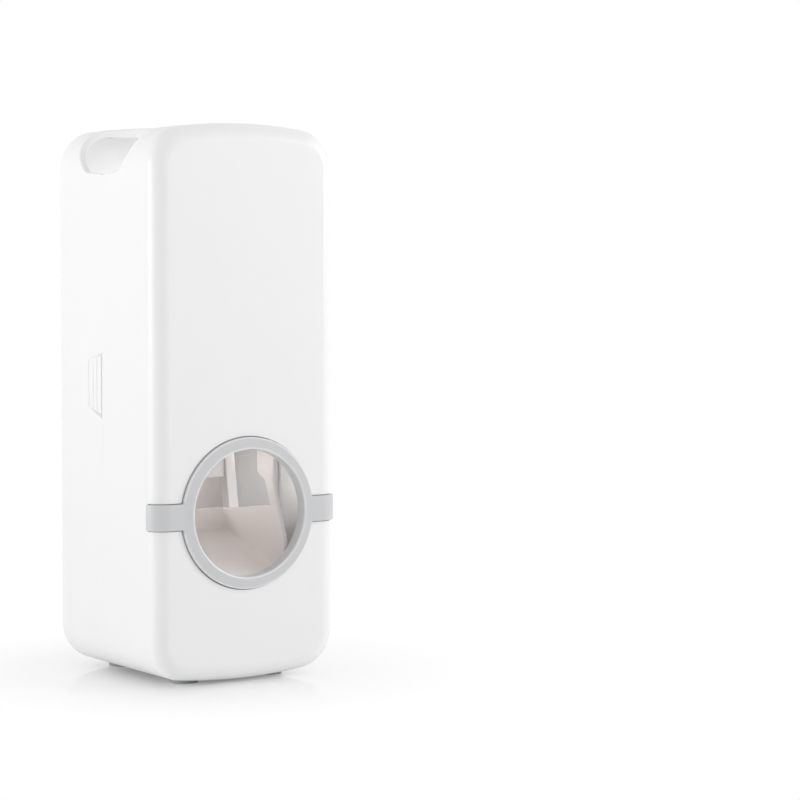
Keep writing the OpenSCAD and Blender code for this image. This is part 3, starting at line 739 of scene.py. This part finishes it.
def slot_tool(size, slot):
    """Solid of the slot: a round bar across the top, cut to a floor with a shallow vee."""
    reach = size.width / 2 + 10 * MM
    tool = rod("slot_tool", (-reach, 0, size.top), (reach, 0, size.top), slot.radius, ROUND_SIDES)
    lowest = (0, slot.dip_y, slot.floor - slot.dip)
    for end in (-slot.floor_half, slot.floor_half):
        run = end - slot.dip_y
        down = Vector((0, slot.dip * run, -run * run))
        slice_away(tool, lowest, down)
    return tool


def on_slot(point, size, slot):
    """Whether a point lies on the slot's round wall or on its floor."""
    on_round = near(math.hypot(point.y, point.z - size.top), slot.radius, 0.12 * MM)
    low_end = slot.floor - slot.dip - 0.1 * MM
    on_floor = abs(point.y) < slot.floor_half + 1.4 * MM and low_end < point.z < slot.floor + 0.2 * MM
    return on_round or on_floor


def grip_tool(slot, size):
    """Wedge of the grip recess on the right: deep at the parting line, running out towards the back."""
    half = size.width / 2
    tool = block("grip_tool", (half - slot.grip_depth, -BITE, slot.grip_low),
                 (half + 2 * MM, slot.grip_length, slot.grip_high))
    edit(tool)
    for rise, level in ((slot.grip_rise, slot.grip_low), (-slot.grip_fall, slot.grip_high)):
        pick("VERT", lambda v: near(v.co.y, slot.grip_length) and near(v.co.z, level))
        bpy.ops.transform.translate(value=(0, 0, rise))
    pick("VERT", lambda v: near(v.co.y, slot.grip_length) and v.co.x < half)
    bpy.ops.transform.translate(value=(slot.grip_depth, 0, 0))
    clear_selection()
    return tool


# Depth of each groove in the grip recess, with its size against the fine grooves
GRIP_GROOVES = ((8.1 * MM, 1.0), (6.2 * MM, 1.0), (4.5 * MM, 1.0), (2.4 * MM, 2.6))


def grip_groove(slot, size, y, scale):
    """Tool for one upright groove in the slope of the grip recess on the right."""
    share = y / slot.grip_length
    slope_x = size.width / 2 - slot.grip_depth * (1 - share)
    width = slot.groove_width * scale
    margin = 0.3 * MM
    low = slot.grip_low + slot.grip_rise * share + margin
    high = slot.grip_high - slot.grip_fall * share - margin
    return block("groove", (slope_x - slot.groove_depth * scale, y - width / 2, low),
                 (slope_x + 0.5 * MM, y + width / 2, high))


# Tongues of the cover: heights of their middles, half their width, their reach either side of the
# parting line, the length of their roots, their thickness, their play in the rear housing and rounding
TONGUE_HEIGHTS = (28 * MM, 118 * MM)
TONGUE_HALF = 4 * MM
TONGUE_REACH = 5 * MM
TONGUE_ROOT = 3 * MM
TONGUE_WALL = 1.45 * MM
TONGUE_PLAY = 0.15 * MM
TONGUE_ROUNDING = 0.25 * MM

# Bosses for the chassis screws in the rear housing, either side of the middle
SCREW_X = 15.5 * MM
SCREW_HEIGHTS = (21 * MM, 88 * MM)
BOSS_FRONT = 26 * MM
BOSS_RADIUS = 3.5 * MM
PILOT_RADIUS = 1.2 * MM


def tongue_x(size):
    """Inner and outer face of a tongue on the right."""
    outer = size.width / 2 - size.wall - TONGUE_PLAY
    return outer - TONGUE_WALL, outer


def cut_foot_pockets(piece, y):
    """Round pockets in the bottom wall that the feet are glued into."""
    pocket_x = (feet_high.x + foot_inner_x()) / 2
    radius = (feet_high.x - foot_inner_x()) / 2 + PLAY
    for x in (-pocket_x, pocket_x):
        cut(piece, rod("foot_pocket", (x, y, -MM), (x, y, feet_high.z + 0.05 * MM), radius, 64))


def foot_inner_x():
    """Inner end of the right foot, which is as wide as it is deep."""
    return feet_high.x - (feet_high.y - feet_low.y)


class DISPENSER_OT_front_cover(bpy.types.Operator):
    """Model the front cover with its opening, trim recess, slot and tongues"""

    bl_idname = "dispenser.front_cover"
    bl_label = "Front cover"

    def execute(self, context):
        size = context.scene.dispenser_housing
        slot = context.scene.dispenser_slot
        trim = context.scene.dispenser_trim
        rim = -size.parting_gap / 2
        front = -size.depth / 2
        cover = half_shell("cover", size, -1)
        inner, outer = tongue_x(size)
        for height in TONGUE_HEIGHTS:
            tongue = block("tongue", (inner, -TONGUE_REACH, height - TONGUE_HALF),
                           (outer, TONGUE_REACH, height + TONGUE_HALF))
            root = block("tongue_root", (inner, -TONGUE_REACH - TONGUE_ROOT, height - TONGUE_HALF),
                         (size.width / 2 - size.wall + DEEP_BITE, rim, height + TONGUE_HALF))
            join_solid(tongue, root)
            round_corners(tongue, TONGUE_ROUNDING, 2)
            join_solid(cover, mirrored(tongue, "tongue_left"))
            join_solid(cover, tongue)
        cut(cover, slot_tool(size, slot))
        hole_radius = trim.opening + trim.sleeve + PLAY
        cut(cover, rod("hole", (0, front - MM, trim.height), (0, front + size.wall + MM, trim.height),
                       hole_radius, ROUND_SIDES))
        cut(cover, rod("recess", (0, front - MM, trim.height), (0, front + trim.sunk, trim.height),
                       trim.radius + trim.gap, ROUND_SIDES))
        cut(cover, front_band("strap_recess", size, -trim.sunk, 3 * MM,
                              trim.height - trim.strap / 2 - trim.gap,
                              trim.height + trim.strap / 2 + trim.gap, trim.strap_end + trim.gap))
        cut_foot_pockets(cover, -(feet_low.y + feet_high.y) / 2)
        tidy_mesh(cover)

        def in_recess(point):
            return math.hypot(point.x, point.z - trim.height) < trim.radius + 2 * trim.gap

        edit(cover)
        weigh(1.0, lambda e: sharp(e) and on_slot(middle(e), size, slot))
        weigh(0.3, lambda e: sharp(e) and in_recess(middle(e)))
        round_weighted(cover, RIM_ROUNDING)
        smooth(cover)
        settle(cover, "cover_shell", "cover", ["front_cover"], finish("Housing white"))
        return {"FINISHED"}


class DISPENSER_OT_rear_housing(bpy.types.Operator):
    """Model the rear housing with its lip, grip recesses, slot, ribs and screw bosses"""

    bl_idname = "dispenser.rear_housing"
    bl_label = "Rear housing"

    def execute(self, context):
        size = context.scene.dispenser_housing
        slot = context.scene.dispenser_slot
        rim = size.parting_gap / 2
        back = size.depth / 2
        wall_inside = size.width / 2 - size.wall
        rear = half_shell("rear", size, 1)
        join_solid(rear, stepped_lip(size, rim))
        inner = tongue_x(size)[0]
        backing, margin = 1.4 * MM, 2 * MM
        pad = block("grip_pad", (wall_inside - backing, 0.5 * MM, slot.grip_low - margin),
                    (wall_inside + DEEP_BITE, slot.grip_length + MM, slot.grip_high + 1.7 * MM))
        join_solid(rear, mirrored(pad, "grip_pad_left"))
        join_solid(rear, pad)
        rib = 1.2 * MM
        pocket_half = TONGUE_HALF + 3 * PLAY
        for height in TONGUE_HEIGHTS:
            for side in (-1, 1):
                rib_middle = height + side * (pocket_half + PLAY + rib / 2)
                guide = block("guide", (inner - MM, 0.7 * MM, rib_middle - rib / 2),
                              (wall_inside + DEEP_BITE, TONGUE_REACH + MM, rib_middle + rib / 2))
                join_solid(rear, mirrored(guide, "guide_left"))
                join_solid(rear, guide)
            pocket = block("pocket", (inner - 4 * PLAY, -size.lip_reach - MM, height - pocket_half),
                           (wall_inside + PLAY, TONGUE_REACH + 0.5 * MM, height + pocket_half))
            cut(rear, mirrored(pocket, "pocket_left"))
            cut(rear, pocket)
        cut(rear, slot_tool(size, slot))
        grip = grip_tool(slot, size)
        cut(rear, mirrored(grip, "grip_left"))
        cut(rear, grip)
        for x in (-SCREW_X, SCREW_X):
            for z in SCREW_HEIGHTS:
                join_solid(rear, rod("boss", (x, BOSS_FRONT, z), (x, back - size.wall + DEEP_BITE, z),
                                     BOSS_RADIUS, 48))
                cut(rear, rod("pilot", (x, BOSS_FRONT - MM, z), (x, back - MM, z), PILOT_RADIUS, 32))
        cut_foot_pockets(rear, (feet_low.y + feet_high.y) / 2)
        tidy_mesh(rear)

        def on_grip(point):
            return (abs(point.x) > size.width / 2 - slot.grip_depth - 0.1 * MM
                    and rim - 0.1 * MM < point.y < slot.grip_length + 0.1 * MM
                    and slot.grip_low - 0.1 * MM < point.z < slot.grip_high + 0.1 * MM)

        edit(rear)
        weigh(1.0, lambda e: sharp(e) and on_slot(middle(e), size, slot))
        weigh(0.4, lambda e: sharp(e, math.radians(9)) and on_grip(middle(e)))
        weigh(0.4, lambda e: sharp(e) and near(middle(e).y, -size.lip_reach))
        round_weighted(rear, RIM_ROUNDING)
        for y, scale in GRIP_GROOVES:
            groove = grip_groove(slot, size, y, scale)
            cut(rear, mirrored(groove, "groove_left"))
            cut(rear, groove)
        smooth(rear)
        settle(rear, "rear_shell", "housing", ["rear_housing"], finish("Housing white"))
        return {"FINISHED"}


# Trim ring

def front_band(name, size, inner, outer, low_z, high_z, end_y):
    """Band that wraps round the cover's front, from an inner to an outer distance off its faces."""
    half = size.width / 2
    corner_x = half - size.edge_radius
    corner_y = -size.depth / 2 + size.edge_radius
    leg = 4 * MM
    right, left = (corner_x, corner_y, low_z), (-corner_x, corner_y, low_z)
    piece = start_vertex(name, (half + outer, corner_y + leg, low_z))
    line(y=-leg)
    arc(right, -QUARTER, CORNER_STEPS, SEEN_FROM_ABOVE)
    line(x=-2 * corner_x)
    arc(left, -QUARTER, CORNER_STEPS, SEEN_FROM_ABOVE)
    line(y=leg)
    line(x=outer - inner)
    line(y=-leg)
    arc(left, QUARTER, CORNER_STEPS, SEEN_FROM_ABOVE)
    line(x=2 * corner_x)
    arc(right, QUARTER, CORNER_STEPS, SEEN_FROM_ABOVE)
    line(y=leg)
    close_outline()
    thicken(z=high_z - low_z)
    slice_away(piece, (0, end_y, 0), (0, 1, 0))
    return piece


def ring_and_strap(name, trim, y, depth, reach):
    """Solid with the trim's front outline: the ring, the strap both ways and the fillets between them."""
    half = trim.strap / 2
    centre_distance = trim.radius + trim.fillet
    lean = math.asin((half + trim.fillet) / centre_distance)
    fillet_x = centre_distance * math.cos(lean)
    turn = QUARTER - lean
    rise = half + trim.fillet
    fillet_steps, ring_steps = 5, 56
    piece = start_vertex(name, (reach, y, trim.height - half))
    line(z=trim.strap)
    line(x=fillet_x - reach)
    arc((fillet_x, y, trim.height + rise), -turn, fillet_steps)
    arc((0, y, trim.height), 2 * turn, ring_steps)
    arc((-fillet_x, y, trim.height + rise), -turn, fillet_steps)
    line(x=fillet_x - reach)
    line(z=-trim.strap)
    line(x=reach - fillet_x)
    arc((-fillet_x, y, trim.height - rise), -turn, fillet_steps)
    arc((0, y, trim.height), 2 * turn, ring_steps)
    arc((fillet_x, y, trim.height - rise), -turn, fillet_steps)
    close_outline()
    thicken(y=depth)
    clear_selection()
    return piece


class DISPENSER_OT_trim_ring(bpy.types.Operator):
    """Model the trim ring with its strap and the sleeve through the cover"""

    bl_idname = "dispenser.trim_ring"
    bl_label = "Trim ring"

    def execute(self, context):
        size = context.scene.dispenser_housing
        trim = context.scene.dispenser_trim
        front = -size.depth / 2
        seat = -trim.sunk + 0.05 * MM
        half_height = 25 * MM
        ring = ring_and_strap("ring", trim, front - 2 * MM, 8 * MM, size.width / 2 + 5 * MM)
        join_solid(ring, front_band("wrap", size, seat, trim.proud, trim.height - half_height,
                                    trim.height + half_height, trim.strap_end), "INTERSECT")
        join_solid(ring, rod("slope", (0, front - trim.proud + 0.05 * MM, trim.height),
                             (0, front - trim.lip, trim.height), trim.radius - trim.step, ROUND_SIDES,
                             trim.opening + trim.crest))
        join_solid(ring, rod("sleeve", (0, front - trim.proud / 2, trim.height),
                             (0, front + size.wall, trim.height), trim.opening + trim.sleeve, ROUND_SIDES))
        cut(ring, rod("opening", (0, front - 2 * MM, trim.height), (0, front + 4 * MM, trim.height),
                      trim.opening, ROUND_SIDES))
        tidy_mesh(ring)
        edit(ring)
        pick("EDGE", lambda e: sharp(e) and near(middle(e).y, trim.strap_end, 0.3 * MM)
             and near(abs(middle(e).z - trim.height), trim.strap / 2))
        bpy.ops.mesh.bevel(offset=RIM_ROUNDING, segments=4, affect="EDGES", clamp_overlap=False)
        clear_selection()
        tidy_mesh(ring)
        edit(ring)

        def at_opening(point):
            return near(math.hypot(point.x, point.z - trim.height), trim.opening, 0.05 * MM)

        weigh(1.0, lambda e: sharp(e) and at_opening(middle(e)) and middle(e).y < front)
        weigh(0.6, lambda e: sharp(e) and not at_opening(middle(e))
              and off_front(middle(e), size) > trim.proud - 0.1 * MM)
        round_weighted(ring, RIM_ROUNDING)
        smooth(ring)
        # Paints a highlight on the rounded edges of the opening and of the ring's rim, as a light line where
        # they would catch the light
        mark_painted_highlight(ring, lambda spot: painted_highlight_edge(spot, trim, front))
        settle(ring, "trim_band", "cover", ["trim_ring"], finish("Trim grey"))
        return {"FINISHED"}


# Bands of painted highlight at the opening and at the ring's rim: their width across the ring and their depth
LIP_HIGHLIGHT_BAND = (0.6 * MM, 0.45 * MM)
RIM_HIGHLIGHT_BAND = (0.32 * MM, 0.3 * MM)


def painted_highlight_edge(spot, trim, front):
    """Whether the spot lies on the rounded edge of the opening or of the ring's rim, where a highlight is
    painted.
    """
    ring_distance = math.hypot(spot.x, spot.z - trim.height)
    at_lip = ring_distance < trim.opening + LIP_HIGHLIGHT_BAND[0] and spot.y < front - trim.lip + LIP_HIGHLIGHT_BAND[1]
    at_rim = (abs(ring_distance - trim.radius) < RIM_HIGHLIGHT_BAND[0] and spot.y < front - trim.proud + RIM_HIGHLIGHT_BAND[1]
              and abs(spot.z - trim.height) > trim.strap / 2 + trim.fillet)
    return at_lip or at_rim


def mark_painted_highlight(piece, test):
    """Stores in the piece which of its vertices lie on a rounded edge that gets a painted highlight, a light
    line where the edge would catch the light.
    """
    highlight_marks = piece.data.attributes.new("Painted highlight", "FLOAT", "POINT")
    for vertex, mark in zip(piece.data.vertices, highlight_marks.data):
        mark.value = 1.0 if test(vertex.co) else 0.0


def off_front(point, size):
    """Distance of a point outside the cover's front, sides and rounded corners, seen from above."""
    corner = Vector((size.width / 2 - size.edge_radius, size.depth / 2 - size.edge_radius))
    beyond = Vector((abs(point.x), -point.y)) - corner
    if beyond.x <= 0:
        return beyond.y - size.edge_radius
    if beyond.y <= 0:
        return beyond.x - size.edge_radius
    return beyond.length - size.edge_radius


# Mechanism

class DISPENSER_OT_cradle(bpy.types.Operator):
    """Model the push cradle: sloping floor, cheeks, back wall and arms"""

    bl_idname = "dispenser.cradle"
    bl_label = "Push cradle"

    def execute(self, context):
        parts = context.scene.dispenser_mechanism
        half = cradle_high.x
        wall_front = cradle_high.y - parts.back_wall
        front, back = cradle_low.y, cradle_high.y
        root, top = parts.arm_root, cradle_high.z
        shoulder, splay, beyond = 0.8 * MM, 2 * MM, 2 * MM

        def floor_at(y):
            return parts.floor_back - math.tan(parts.floor_slope) * (wall_front - y)

        under = parts.floor_wall
        plate = prism_x("cradle", [
            (front, floor_at(front) - under), (back, floor_at(back) - under),
            (back, parts.wall_top), (wall_front - shoulder, parts.wall_top),
            (parts.cheek_bend_y, parts.cheek_bend), (parts.screw_y, root), (parts.arm_back, root + splay),
            (parts.arm_back, top), (parts.arm_front, top), (parts.arm_front, root),
            (front, parts.cheek_low)], -half, half)
        cut(plate, prism_x("inside", [
            (front - beyond, floor_at(front - beyond)), (wall_front, parts.floor_back),
            (wall_front, top + beyond), (front - beyond, top + beyond)],
            parts.cheek - half, half - parts.cheek))
        cut(plate, rod("screw_holes", (-half - MM, parts.screw_y, parts.pump_height),
                       (half + MM, parts.screw_y, parts.pump_height), parts.screw_hole, 32))

        def inner_corner(edge):
            """Whether the edge runs along the foot of a cheek or of the back wall, inside the cradle."""
            spot = middle(edge)
            at_cheek = near(abs(spot.x), half - parts.cheek) and near(spot.z, floor_at(spot.y), 0.1 * MM)
            at_wall = near(spot.y, wall_front) and near(spot.z, parts.floor_back, 0.1 * MM)
            return at_cheek or at_wall

        def at_hole(edge):
            """Whether the edge belongs to the rim or the bore of a screw hole."""
            spot = middle(edge)
            from_axis = math.hypot(spot.y - parts.screw_y, spot.z - parts.pump_height)
            return from_axis < parts.screw_hole + 0.1 * MM

        edit(plate)
        weigh(1.0, lambda e: sharp(e, math.radians(60)) and inner_corner(e) and e.calc_length() > MM)
        weigh(0.5, lambda e: sharp(e) and not inner_corner(e) and not at_hole(e))
        round_weighted(plate, 2 * MOULD_ROUNDING)
        smooth(plate)
        settle(plate, "cradle_stirrup", "cradle", ["push_cradle"],
               finish("Mechanism white"))
        return {"FINISHED"}


class DISPENSER_OT_outlet(bpy.types.Operator):
    """Model the outlet duct with its arm, and the leaning spout"""

    bl_idname = "dispenser.outlet"
    bl_label = "Outlet"

    def execute(self, context):
        parts = context.scene.dispenser_mechanism
        duct = block("duct", duct_low, (duct_low.x + parts.duct_width, duct_high.y, duct_high.z))
        join_solid(duct, block("arm", duct_low, (duct_high.x, duct_low.y + parts.arm_depth, duct_high.z)))
        tidy_mesh(duct)
        round_corners(duct, MOULD_ROUNDING)
        port = (duct_low.x + parts.duct_width / 2, duct_high.y - parts.port_inset)
        cut(duct, rod("valve_seat", (*port, duct_high.z - parts.valve_depth), (*port, duct_high.z + MM),
                      parts.valve_seat, 48))
        cut(duct, rod("passage", (*port, (duct_low.z + duct_high.z) / 2), (*port, duct_high.z),
                      parts.port, 48))
        smooth(duct)
        settle(duct, "outlet_arm", "housing", ["outlet_duct"], finish("Mechanism white"))

        low, high = spout_low, spout_high
        back_lean = high.y - low.y - parts.spout_depth
        spout = prism_x("spout", [
            (low.y, low.z), (low.y + parts.spout_depth, low.z), (high.y, high.z),
            (low.y + back_lean, high.z)], low.x, high.x)
        round_corners(spout, MOULD_ROUNDING)
        tip = Vector((0, low.y + parts.spout_depth / 2, low.z))
        rise = Vector((0, back_lean, high.z - low.z)).normalized()
        cut(spout, rod("nozzle", tip - rise * MM, tip + rise * 12 * MM, parts.nozzle, 32))
        smooth(spout)
        settle(spout, "spout_bar", "housing", ["outlet_spout"], finish("Mechanism white"))
        return {"FINISHED"}


# Facets of one curl of the spring and of its wire
STEPS_PER_CURL = 40
WIRE_SIDES = 14


class DISPENSER_OT_spring(bpy.types.Operator):
    """Model the return spring as one wound wire"""

    bl_idname = "dispenser.spring"
    bl_label = "Return spring"

    def execute(self, context):
        parts = context.scene.dispenser_mechanism
        wire_radius = parts.wire / 2
        centre_x = spring_high.x - wire_radius
        start = spring_low.y + wire_radius
        run = spring_high.y - wire_radius - start
        clear_selection()
        bpy.ops.mesh.primitive_circle_add(vertices=WIRE_SIDES, radius=wire_radius,
                                          location=(centre_x, start, parts.pump_height))
        spring = bpy.context.object
        take(spring)
        bpy.ops.object.transform_apply(location=True, rotation=True, scale=True)
        pivot = bpy.data.objects.new("pivot", None)
        bpy.context.scene.collection.objects.link(pivot)
        pivot.location = (0, 0, parts.pump_height)
        bpy.context.view_layer.update()
        steps = int(STEPS_PER_CURL * parts.curls)
        shape(spring, "SCREW", axis="Y", object=pivot, angle=-2 * math.pi * parts.curls, screw_offset=run,
              iterations=1, steps=steps, render_steps=steps, use_merge_vertices=False)
        bpy.data.objects.remove(pivot)
        edit(spring)
        pick("EDGE", lambda e: len(e.link_faces) == 1)
        bpy.ops.mesh.edge_face_add()
        bpy.ops.mesh.select_all(action="SELECT")
        bpy.ops.mesh.normals_make_consistent(inside=False)
        smooth(spring)
        settle(spring, "spring_coil", "housing", ["return_spring"], finish("Screw steel"))
        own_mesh(spring)
        return {"FINISHED"}


CAD_FINISHES = {
    "mechanism_white": "Mechanism white",
    "clear_grey": "Clear grey",
    "rubber_grey": "Rubber grey",
    "screw_steel": "Screw steel",
    "foam_tape": "Foam tape",
    "housing_white": "Housing white",
    "trim_grey": "Trim grey",
}


class DISPENSER_OT_frame_finish(bpy.types.Operator):
    """Give the frame's own pieces the finish of their material slot"""

    bl_idname = "dispenser.frame_finish"
    bl_label = "Frame finish"

    def execute(self, context):
        slots = {part["node"]: part["material_slot"] for part in frame["record"]["subparts"]}
        for name, piece in frame["nodes"].items():
            piece.material_slots[0].material = finish(CAD_FINISHES[slots[name]])
        return {"FINISHED"}


# Studio

class DISPENSER_OT_studio(bpy.types.Operator):
    """Make the floor, the soft light and the camera"""

    bl_idname = "dispenser.studio"
    bl_label = "Studio"

    def execute(self, context):
        studio = context.scene.dispenser_studio
        scene = context.scene
        scene.view_settings.view_transform = "Standard"
        add_camera(scene, studio)
        add_world(scene, studio)
        add_floor(studio)
        add_lamps(studio)
        return {"FINISHED"}


def add_camera(scene, studio):
    lens = bpy.data.cameras.new("camera")
    lens.lens = studio.lens
    lens.sensor_width = 36.0
    camera = bpy.data.objects.new("camera", lens)
    scene.collection.objects.link(camera)
    camera.matrix_world = (Matrix.Translation(studio.camera_place)
                           @ Matrix.Rotation(studio.camera_turn, 4, "Z")
                           @ Matrix.Rotation(QUARTER - studio.camera_dip, 4, "X")
                           @ Matrix.Rotation(studio.camera_roll, 4, "Z"))
    scene.camera = camera


# Middle of the darker side of the surroundings, and the cosine of the angle at which it begins
HOLLOW_MIDDLE = (-0.68, -0.73, -0.06)
HOLLOW_EDGE = 0.45


def add_world(scene, studio):
    """White surroundings, pure white where seen, and darker on the side where the camera stands."""
    world = bpy.data.worlds.new("studio")
    scene.world = world
    world.use_nodes = True
    tree = world.node_tree
    background = tree.nodes["Background"]
    background.inputs["Color"].default_value = (1, 1, 1, 1)
    towards = add(tree, "ShaderNodeVectorMath", operation="DOT_PRODUCT")
    tree.links.new(add(tree, "ShaderNodeTexCoord").outputs["Generated"], towards.inputs[0])
    towards.inputs[1].default_value = Vector(HOLLOW_MIDDLE).normalized()
    hollow = add(tree, "ShaderNodeMapRange",
                 {"From Min": HOLLOW_EDGE, "From Max": 1.0, "To Max": studio.hollow},
                 interpolation_type="SMOOTHSTEP")
    tree.links.new(towards.outputs["Value"], hollow.inputs["Value"])
    path = add(tree, "ShaderNodeLightPath")
    mirrored_ray = number(tree, "MAXIMUM", path.outputs["Is Glossy Ray"], path.outputs["Is Transmission Ray"])
    level = number(tree, "ADD", number(tree, "MULTIPLY", mirrored_ray, 1.0 - studio.ambient), studio.ambient)
    level = number(tree, "MULTIPLY", level, number(tree, "SUBTRACT", 1.0, hollow.outputs["Result"]))
    tree.links.new(number(tree, "MAXIMUM", level, path.outputs["Is Camera Ray"]),
                   background.inputs["Strength"])


def add_floor(studio):
    """Pale glossy floor that fades into the white surroundings: from close to the middle outwards the camera
    sees it mixed with glowing white, which paints light over its shadow and reflection near the object.
    """
    clear_selection()
    bpy.ops.mesh.primitive_circle_add(vertices=96, radius=studio.floor_radius, fill_type="NGON")
    floor = bpy.context.object
    floor.name = "floor"
    edit(floor)
    bpy.ops.mesh.select_all(action="SELECT")
    bpy.ops.mesh.inset(thickness=studio.floor_radius / 2)
    clear_selection()
    material = bpy.data.materials.new("Glossy floor")
    material.use_nodes = True
    tree = material.node_tree
    shader = tree.nodes["Principled BSDF"]
    shader.inputs["Base Color"].default_value = (*studio.floor, 1)
    shader.inputs["Roughness"].default_value = 0.1
    shader.inputs["IOR"].default_value = 1.35
    distance = add(tree, "ShaderNodeVectorMath", operation="LENGTH")
    tree.links.new(add(tree, "ShaderNodeTexCoord").outputs["Object"], distance.inputs[0])
    # Painted light: glowing white mixed in for the camera from fade_start outwards lightens the floor's
    # shadow and reflection near the object
    fade = add(tree, "ShaderNodeMapRange", {"From Min": studio.fade_start, "From Max": studio.fade_end})
    tree.links.new(distance.outputs["Value"], fade.inputs["Value"])
    white = add(tree, "ShaderNodeEmission")
    seen = number(tree, "MULTIPLY", fade.outputs["Result"],
                  add(tree, "ShaderNodeLightPath").outputs["Is Camera Ray"])
    mix = add(tree, "ShaderNodeMixShader")
    tree.links.new(seen, mix.inputs["Fac"])
    tree.links.new(shader.outputs["BSDF"], mix.inputs[1])
    tree.links.new(white.outputs["Emission"], mix.inputs[2])
    tree.links.new(mix.outputs["Shader"], tree.nodes["Material Output"].inputs["Surface"])
    floor.data.materials.append(material)


def add_lamp(name, power, size, position, aim=(0, 0, 0.08)):
    """A round soft lamp that points at a place."""
    lamp = bpy.data.lights.new(name, "AREA")
    lamp.energy = power
    lamp.shape = "DISK"
    lamp.size = size
    holder = bpy.data.objects.new(name, lamp)
    bpy.context.scene.collection.objects.link(holder)
    holder.location = position
    holder.rotation_euler = (Vector(aim) - Vector(position)).to_track_quat("-Z", "Y").to_euler()


# Places of the two soft lamps, and the size of the lamps inside
KEY_PLACE = (-1.08, 0.15, 0.1)
SIDE_PLACE = (0.8, -0.6, 0.36)
GLOW_RADIUS = 3 * MM

# Name, share of the power and place of each lamp that stands in for light through the thin walls
INNER_LAMPS = (
    ("bay_glow", 0.5, (0, 0.004, 0.127)),
    ("chamber_glow", 0.07, (0.006, -0.024, 0.066)),
    ("outlet_glow", 0.09, (0.002, -0.0105, 0.057)),
    ("right_glow", 0.03, (0.022, -0.012, 0.055)),
    ("rear_glow", 0.25, (0, 0.0165, 0.052)),
)


def add_lamps(studio):
    """Soft lamps on the left and on the right of the front, and small ones for the light inside."""
    add_lamp("key", studio.key, studio.lamp_size, KEY_PLACE)
    add_lamp("side", studio.side, studio.lamp_size, SIDE_PLACE)
    for name, share, spot in INNER_LAMPS:
        glow = bpy.data.lights.new(name, "POINT")
        glow.energy = studio.inner * share
        glow.shadow_soft_size = GLOW_RADIUS
        holder = bpy.data.objects.new(name, glow)
        bpy.context.scene.collection.objects.link(holder)
        holder.location = spot
        holder.visible_camera = False
        holder.visible_glossy = False


PROPERTY_GROUPS = {
    "dispenser_housing": HousingSizes,
    "dispenser_slot": SlotSizes,
    "dispenser_trim": TrimSizes,
    "dispenser_mechanism": MechanismSizes,
    "dispenser_finish": FinishValues,
    "dispenser_studio": StudioValues,
}
OPERATORS = (
    DISPENSER_OT_finishes,
    DISPENSER_OT_frame_finish,
    DISPENSER_OT_front_cover,
    DISPENSER_OT_rear_housing,
    DISPENSER_OT_trim_ring,
    DISPENSER_OT_cradle,
    DISPENSER_OT_outlet,
    DISPENSER_OT_spring,
    DISPENSER_OT_studio,
)


class DISPENSER_PT_panel(bpy.types.Panel):
    """The pieces, in the order in which they are made"""

    bl_idname = "DISPENSER_PT_panel"
    bl_label = "Toothpaste dispenser"
    bl_space_type = "VIEW_3D"
    bl_region_type = "UI"
    bl_category = "Dispenser"

    def draw(self, context):
        for operator in OPERATORS:
            self.layout.operator(operator.bl_idname)
        for name, group in PROPERTY_GROUPS.items():
            box = self.layout.box()
            box.label(text=group.__doc__)
            for field in group.__annotations__:
                box.prop(getattr(context.scene, name), field)


def register():
    for group in PROPERTY_GROUPS.values():
        bpy.utils.register_class(group)
    for name, group in PROPERTY_GROUPS.items():
        setattr(bpy.types.Scene, name, bpy.props.PointerProperty(type=group))
    for operator in OPERATORS:
        bpy.utils.register_class(operator)
    bpy.utils.register_class(DISPENSER_PT_panel)


def unregister():
    bpy.utils.unregister_class(DISPENSER_PT_panel)
    for operator in reversed(OPERATORS):
        bpy.utils.unregister_class(operator)
    for name in PROPERTY_GROUPS:
        delattr(bpy.types.Scene, name)
    for group in PROPERTY_GROUPS.values():
        bpy.utils.unregister_class(group)


def main():
    register()
    for operator in OPERATORS:
        family, verb = operator.bl_idname.split(".")
        getattr(getattr(bpy.ops, family), verb)()


if __name__ == "__main__":
    main()
